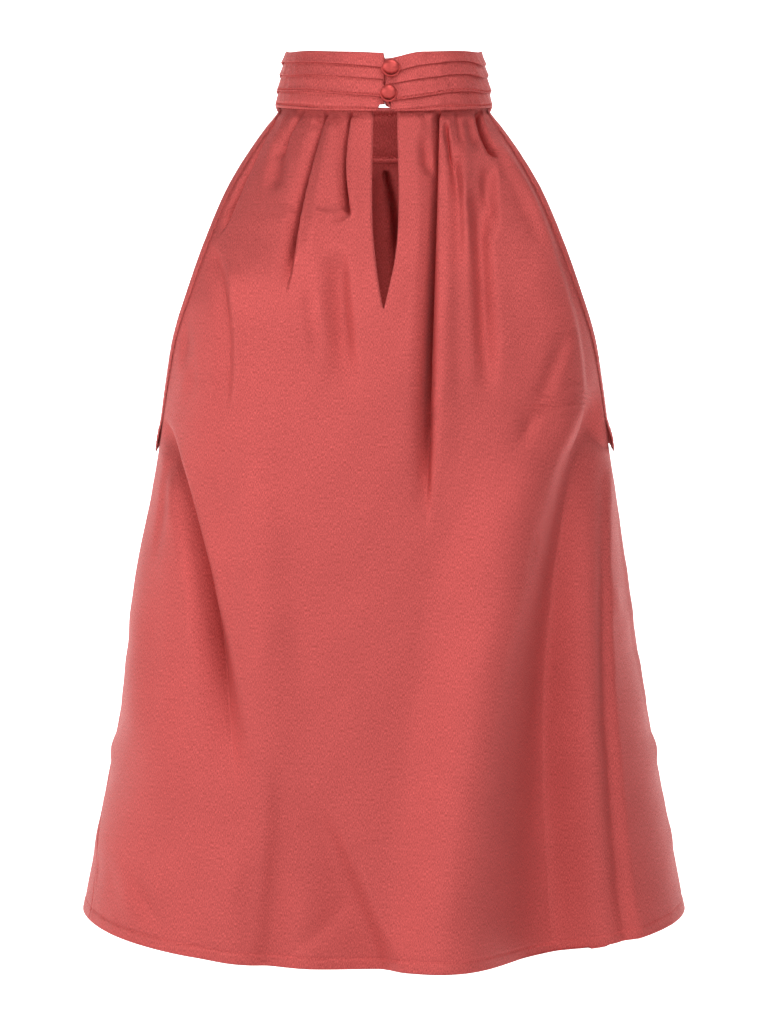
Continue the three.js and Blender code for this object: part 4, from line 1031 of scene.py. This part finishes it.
rows = []
for values in BAND_STITCHES:
    seam = dict(zip(BAND_STITCH_COLUMNS, values))
    points, normals = band_line(seam["share"], seam["out"], seam["clear"], seam["wander"])
    rows.append(stitches(seam["name"], points, normals * seam["facing"], thread,
                         seam["pitch"], seam["length"], seam["radius"]))
for panel in ("back", "front"):
    points, normals = hem_line(panel, HEM_WIDTH, HEM_STITCH_STEPS)
    rows.append(stitches("hem_stitches_" + panel, points, normals, thread, 2.8, 2.0, 0.2))

# Armhole bindings.
for side in ("left", "right"):
    binding, row = build_binding(side, satin, thread)
    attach(binding, "root")
    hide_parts("armhole_binding_" + side)
    rows.append(row)
for row in rows:
    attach(row, "root")

# Buttons and their loops.
for values in BUTTONS:
    button = dict(zip(BUTTON_COLUMNS, values))
    dome = build_button(button, covered)
    cord = build_loop(button, covered)
    for piece, name in ((dome, "button_"), (cord, "button_loop_")):
        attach(piece, "root")
        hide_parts(name + button["name"])

# Floor and backdrop, both glowing white. The backdrop glows evenly; the floor's glow is painted light,
# dim in front of and under the top and brighter behind it.
floor_material = plain_material("floor_paper_painted_glow", (0.9, 0.9, 0.9, 1.0), 0.9, 1.0)
tree = floor_material.node_tree
place = tree.nodes.new("ShaderNodeTexCoord")
axes = tree.nodes.new("ShaderNodeSeparateXYZ")
tree.links.new(place.outputs["Object"], axes.inputs["Vector"])
# Painted glow of the floor: its emission rises from dim on the camera's side of the top to bright far
# behind it.
painted_floor_glow = map_range(tree, axes.outputs["Y"], (-0.2, 1.2), (0.2, 0.95))
painted_floor_glow.interpolation_type = "SMOOTHSTEP"
tree.links.new(painted_floor_glow.outputs["Result"], tree.nodes["Principled BSDF"].inputs["Emission Strength"])
wall_material = plain_material("wall_paper", (0.9, 0.9, 0.9, 1.0), 0.9, 1.0)
SIDE = 6.0
NEAR = -4.0
FAR = 4.0
FLOOR = -0.8
CEILING = 5.0
floor_corners = [(-SIDE, NEAR, FLOOR), (SIDE, NEAR, FLOOR), (SIDE, FAR, FLOOR), (-SIDE, FAR, FLOOR)]
wall_corners = [(-SIDE, FAR, FLOOR), (SIDE, FAR, FLOOR), (SIDE, FAR, CEILING), (-SIDE, FAR, CEILING)]
for name, corners, material in (("floor", floor_corners, floor_material),
                                ("backdrop", wall_corners, wall_material)):
    mesh = bpy.data.meshes.new(name)
    mesh.from_pydata(corners, [], [(0, 1, 2, 3)])
    mesh.materials.append(material)
    plane = bpy.data.objects.new(name, mesh)
    bpy.context.scene.collection.objects.link(plane)

# Middle of the view, and the soft boxes around it.
TARGET = Vector((0.0, 0.0, -0.26532))
LIGHT_DISTANCE = 2.6
LIGHTS = [
    ("key_left", -82, 10, (0.9, 1.1), 14.0),
    ("left", -60, 12, (0.8, 1.1), 12.0),
    ("left_front", -35, 20, (0.9, 1.0), 10.0),
    ("front", 8, 10, (1.0, 1.0), 12.0),
    ("right_front", 40, 30, (0.8, 0.9), 15.0),
    ("top", 16, 60, (1.0, 1.0), 27.0),
]
WORLD_STRENGTH = 0.03


def area_light(name, azimuth, elevation, size, power):
    """Soft box aimed at the top. Azimuth is from the camera, positive to its right."""
    light = bpy.data.lights.new(name, "AREA")
    light.shape = "RECTANGLE"
    light.size = size[0]
    light.size_y = size[1]
    light.energy = power
    turn = math.radians(azimuth)
    lift = math.radians(elevation)
    way = Vector((math.sin(turn) * math.cos(lift), -math.cos(turn) * math.cos(lift), math.sin(lift)))
    obj = bpy.data.objects.new(name, light)
    obj.location = TARGET + way * LIGHT_DISTANCE
    obj.rotation_euler = (-way).to_track_quat("-Z", "Y").to_euler()
    bpy.context.scene.collection.objects.link(obj)


for light_row in LIGHTS:
    area_light(*light_row)

world = bpy.data.worlds.new("studio")
world.use_nodes = True
world.node_tree.nodes["Background"].inputs["Color"].default_value = (1.0, 1.0, 1.0, 1.0)
world.node_tree.nodes["Background"].inputs["Strength"].default_value = WORLD_STRENGTH
bpy.context.scene.world = world

# Camera at the wearer's back, looking a little down at the middle of the top. Lengths in metres,
# lens and sensor in millimetres.
DISTANCE = 2.5
ELEVATION = math.radians(4.0)
LENS = 133.17
SENSOR = 36.0
camera_data = bpy.data.cameras.new("camera")
camera_data.lens = LENS
camera_data.sensor_width = SENSOR
camera = bpy.data.objects.new("camera", camera_data)
camera.location = TARGET + Vector((0.0, -math.cos(ELEVATION), math.sin(ELEVATION))) * DISTANCE
camera.rotation_euler = (TARGET - camera.location).to_track_quat("-Z", "Y").to_euler()
bpy.context.scene.collection.objects.link(camera)
bpy.context.scene.camera = camera
bpy.context.scene.view_settings.view_transform = "Standard"
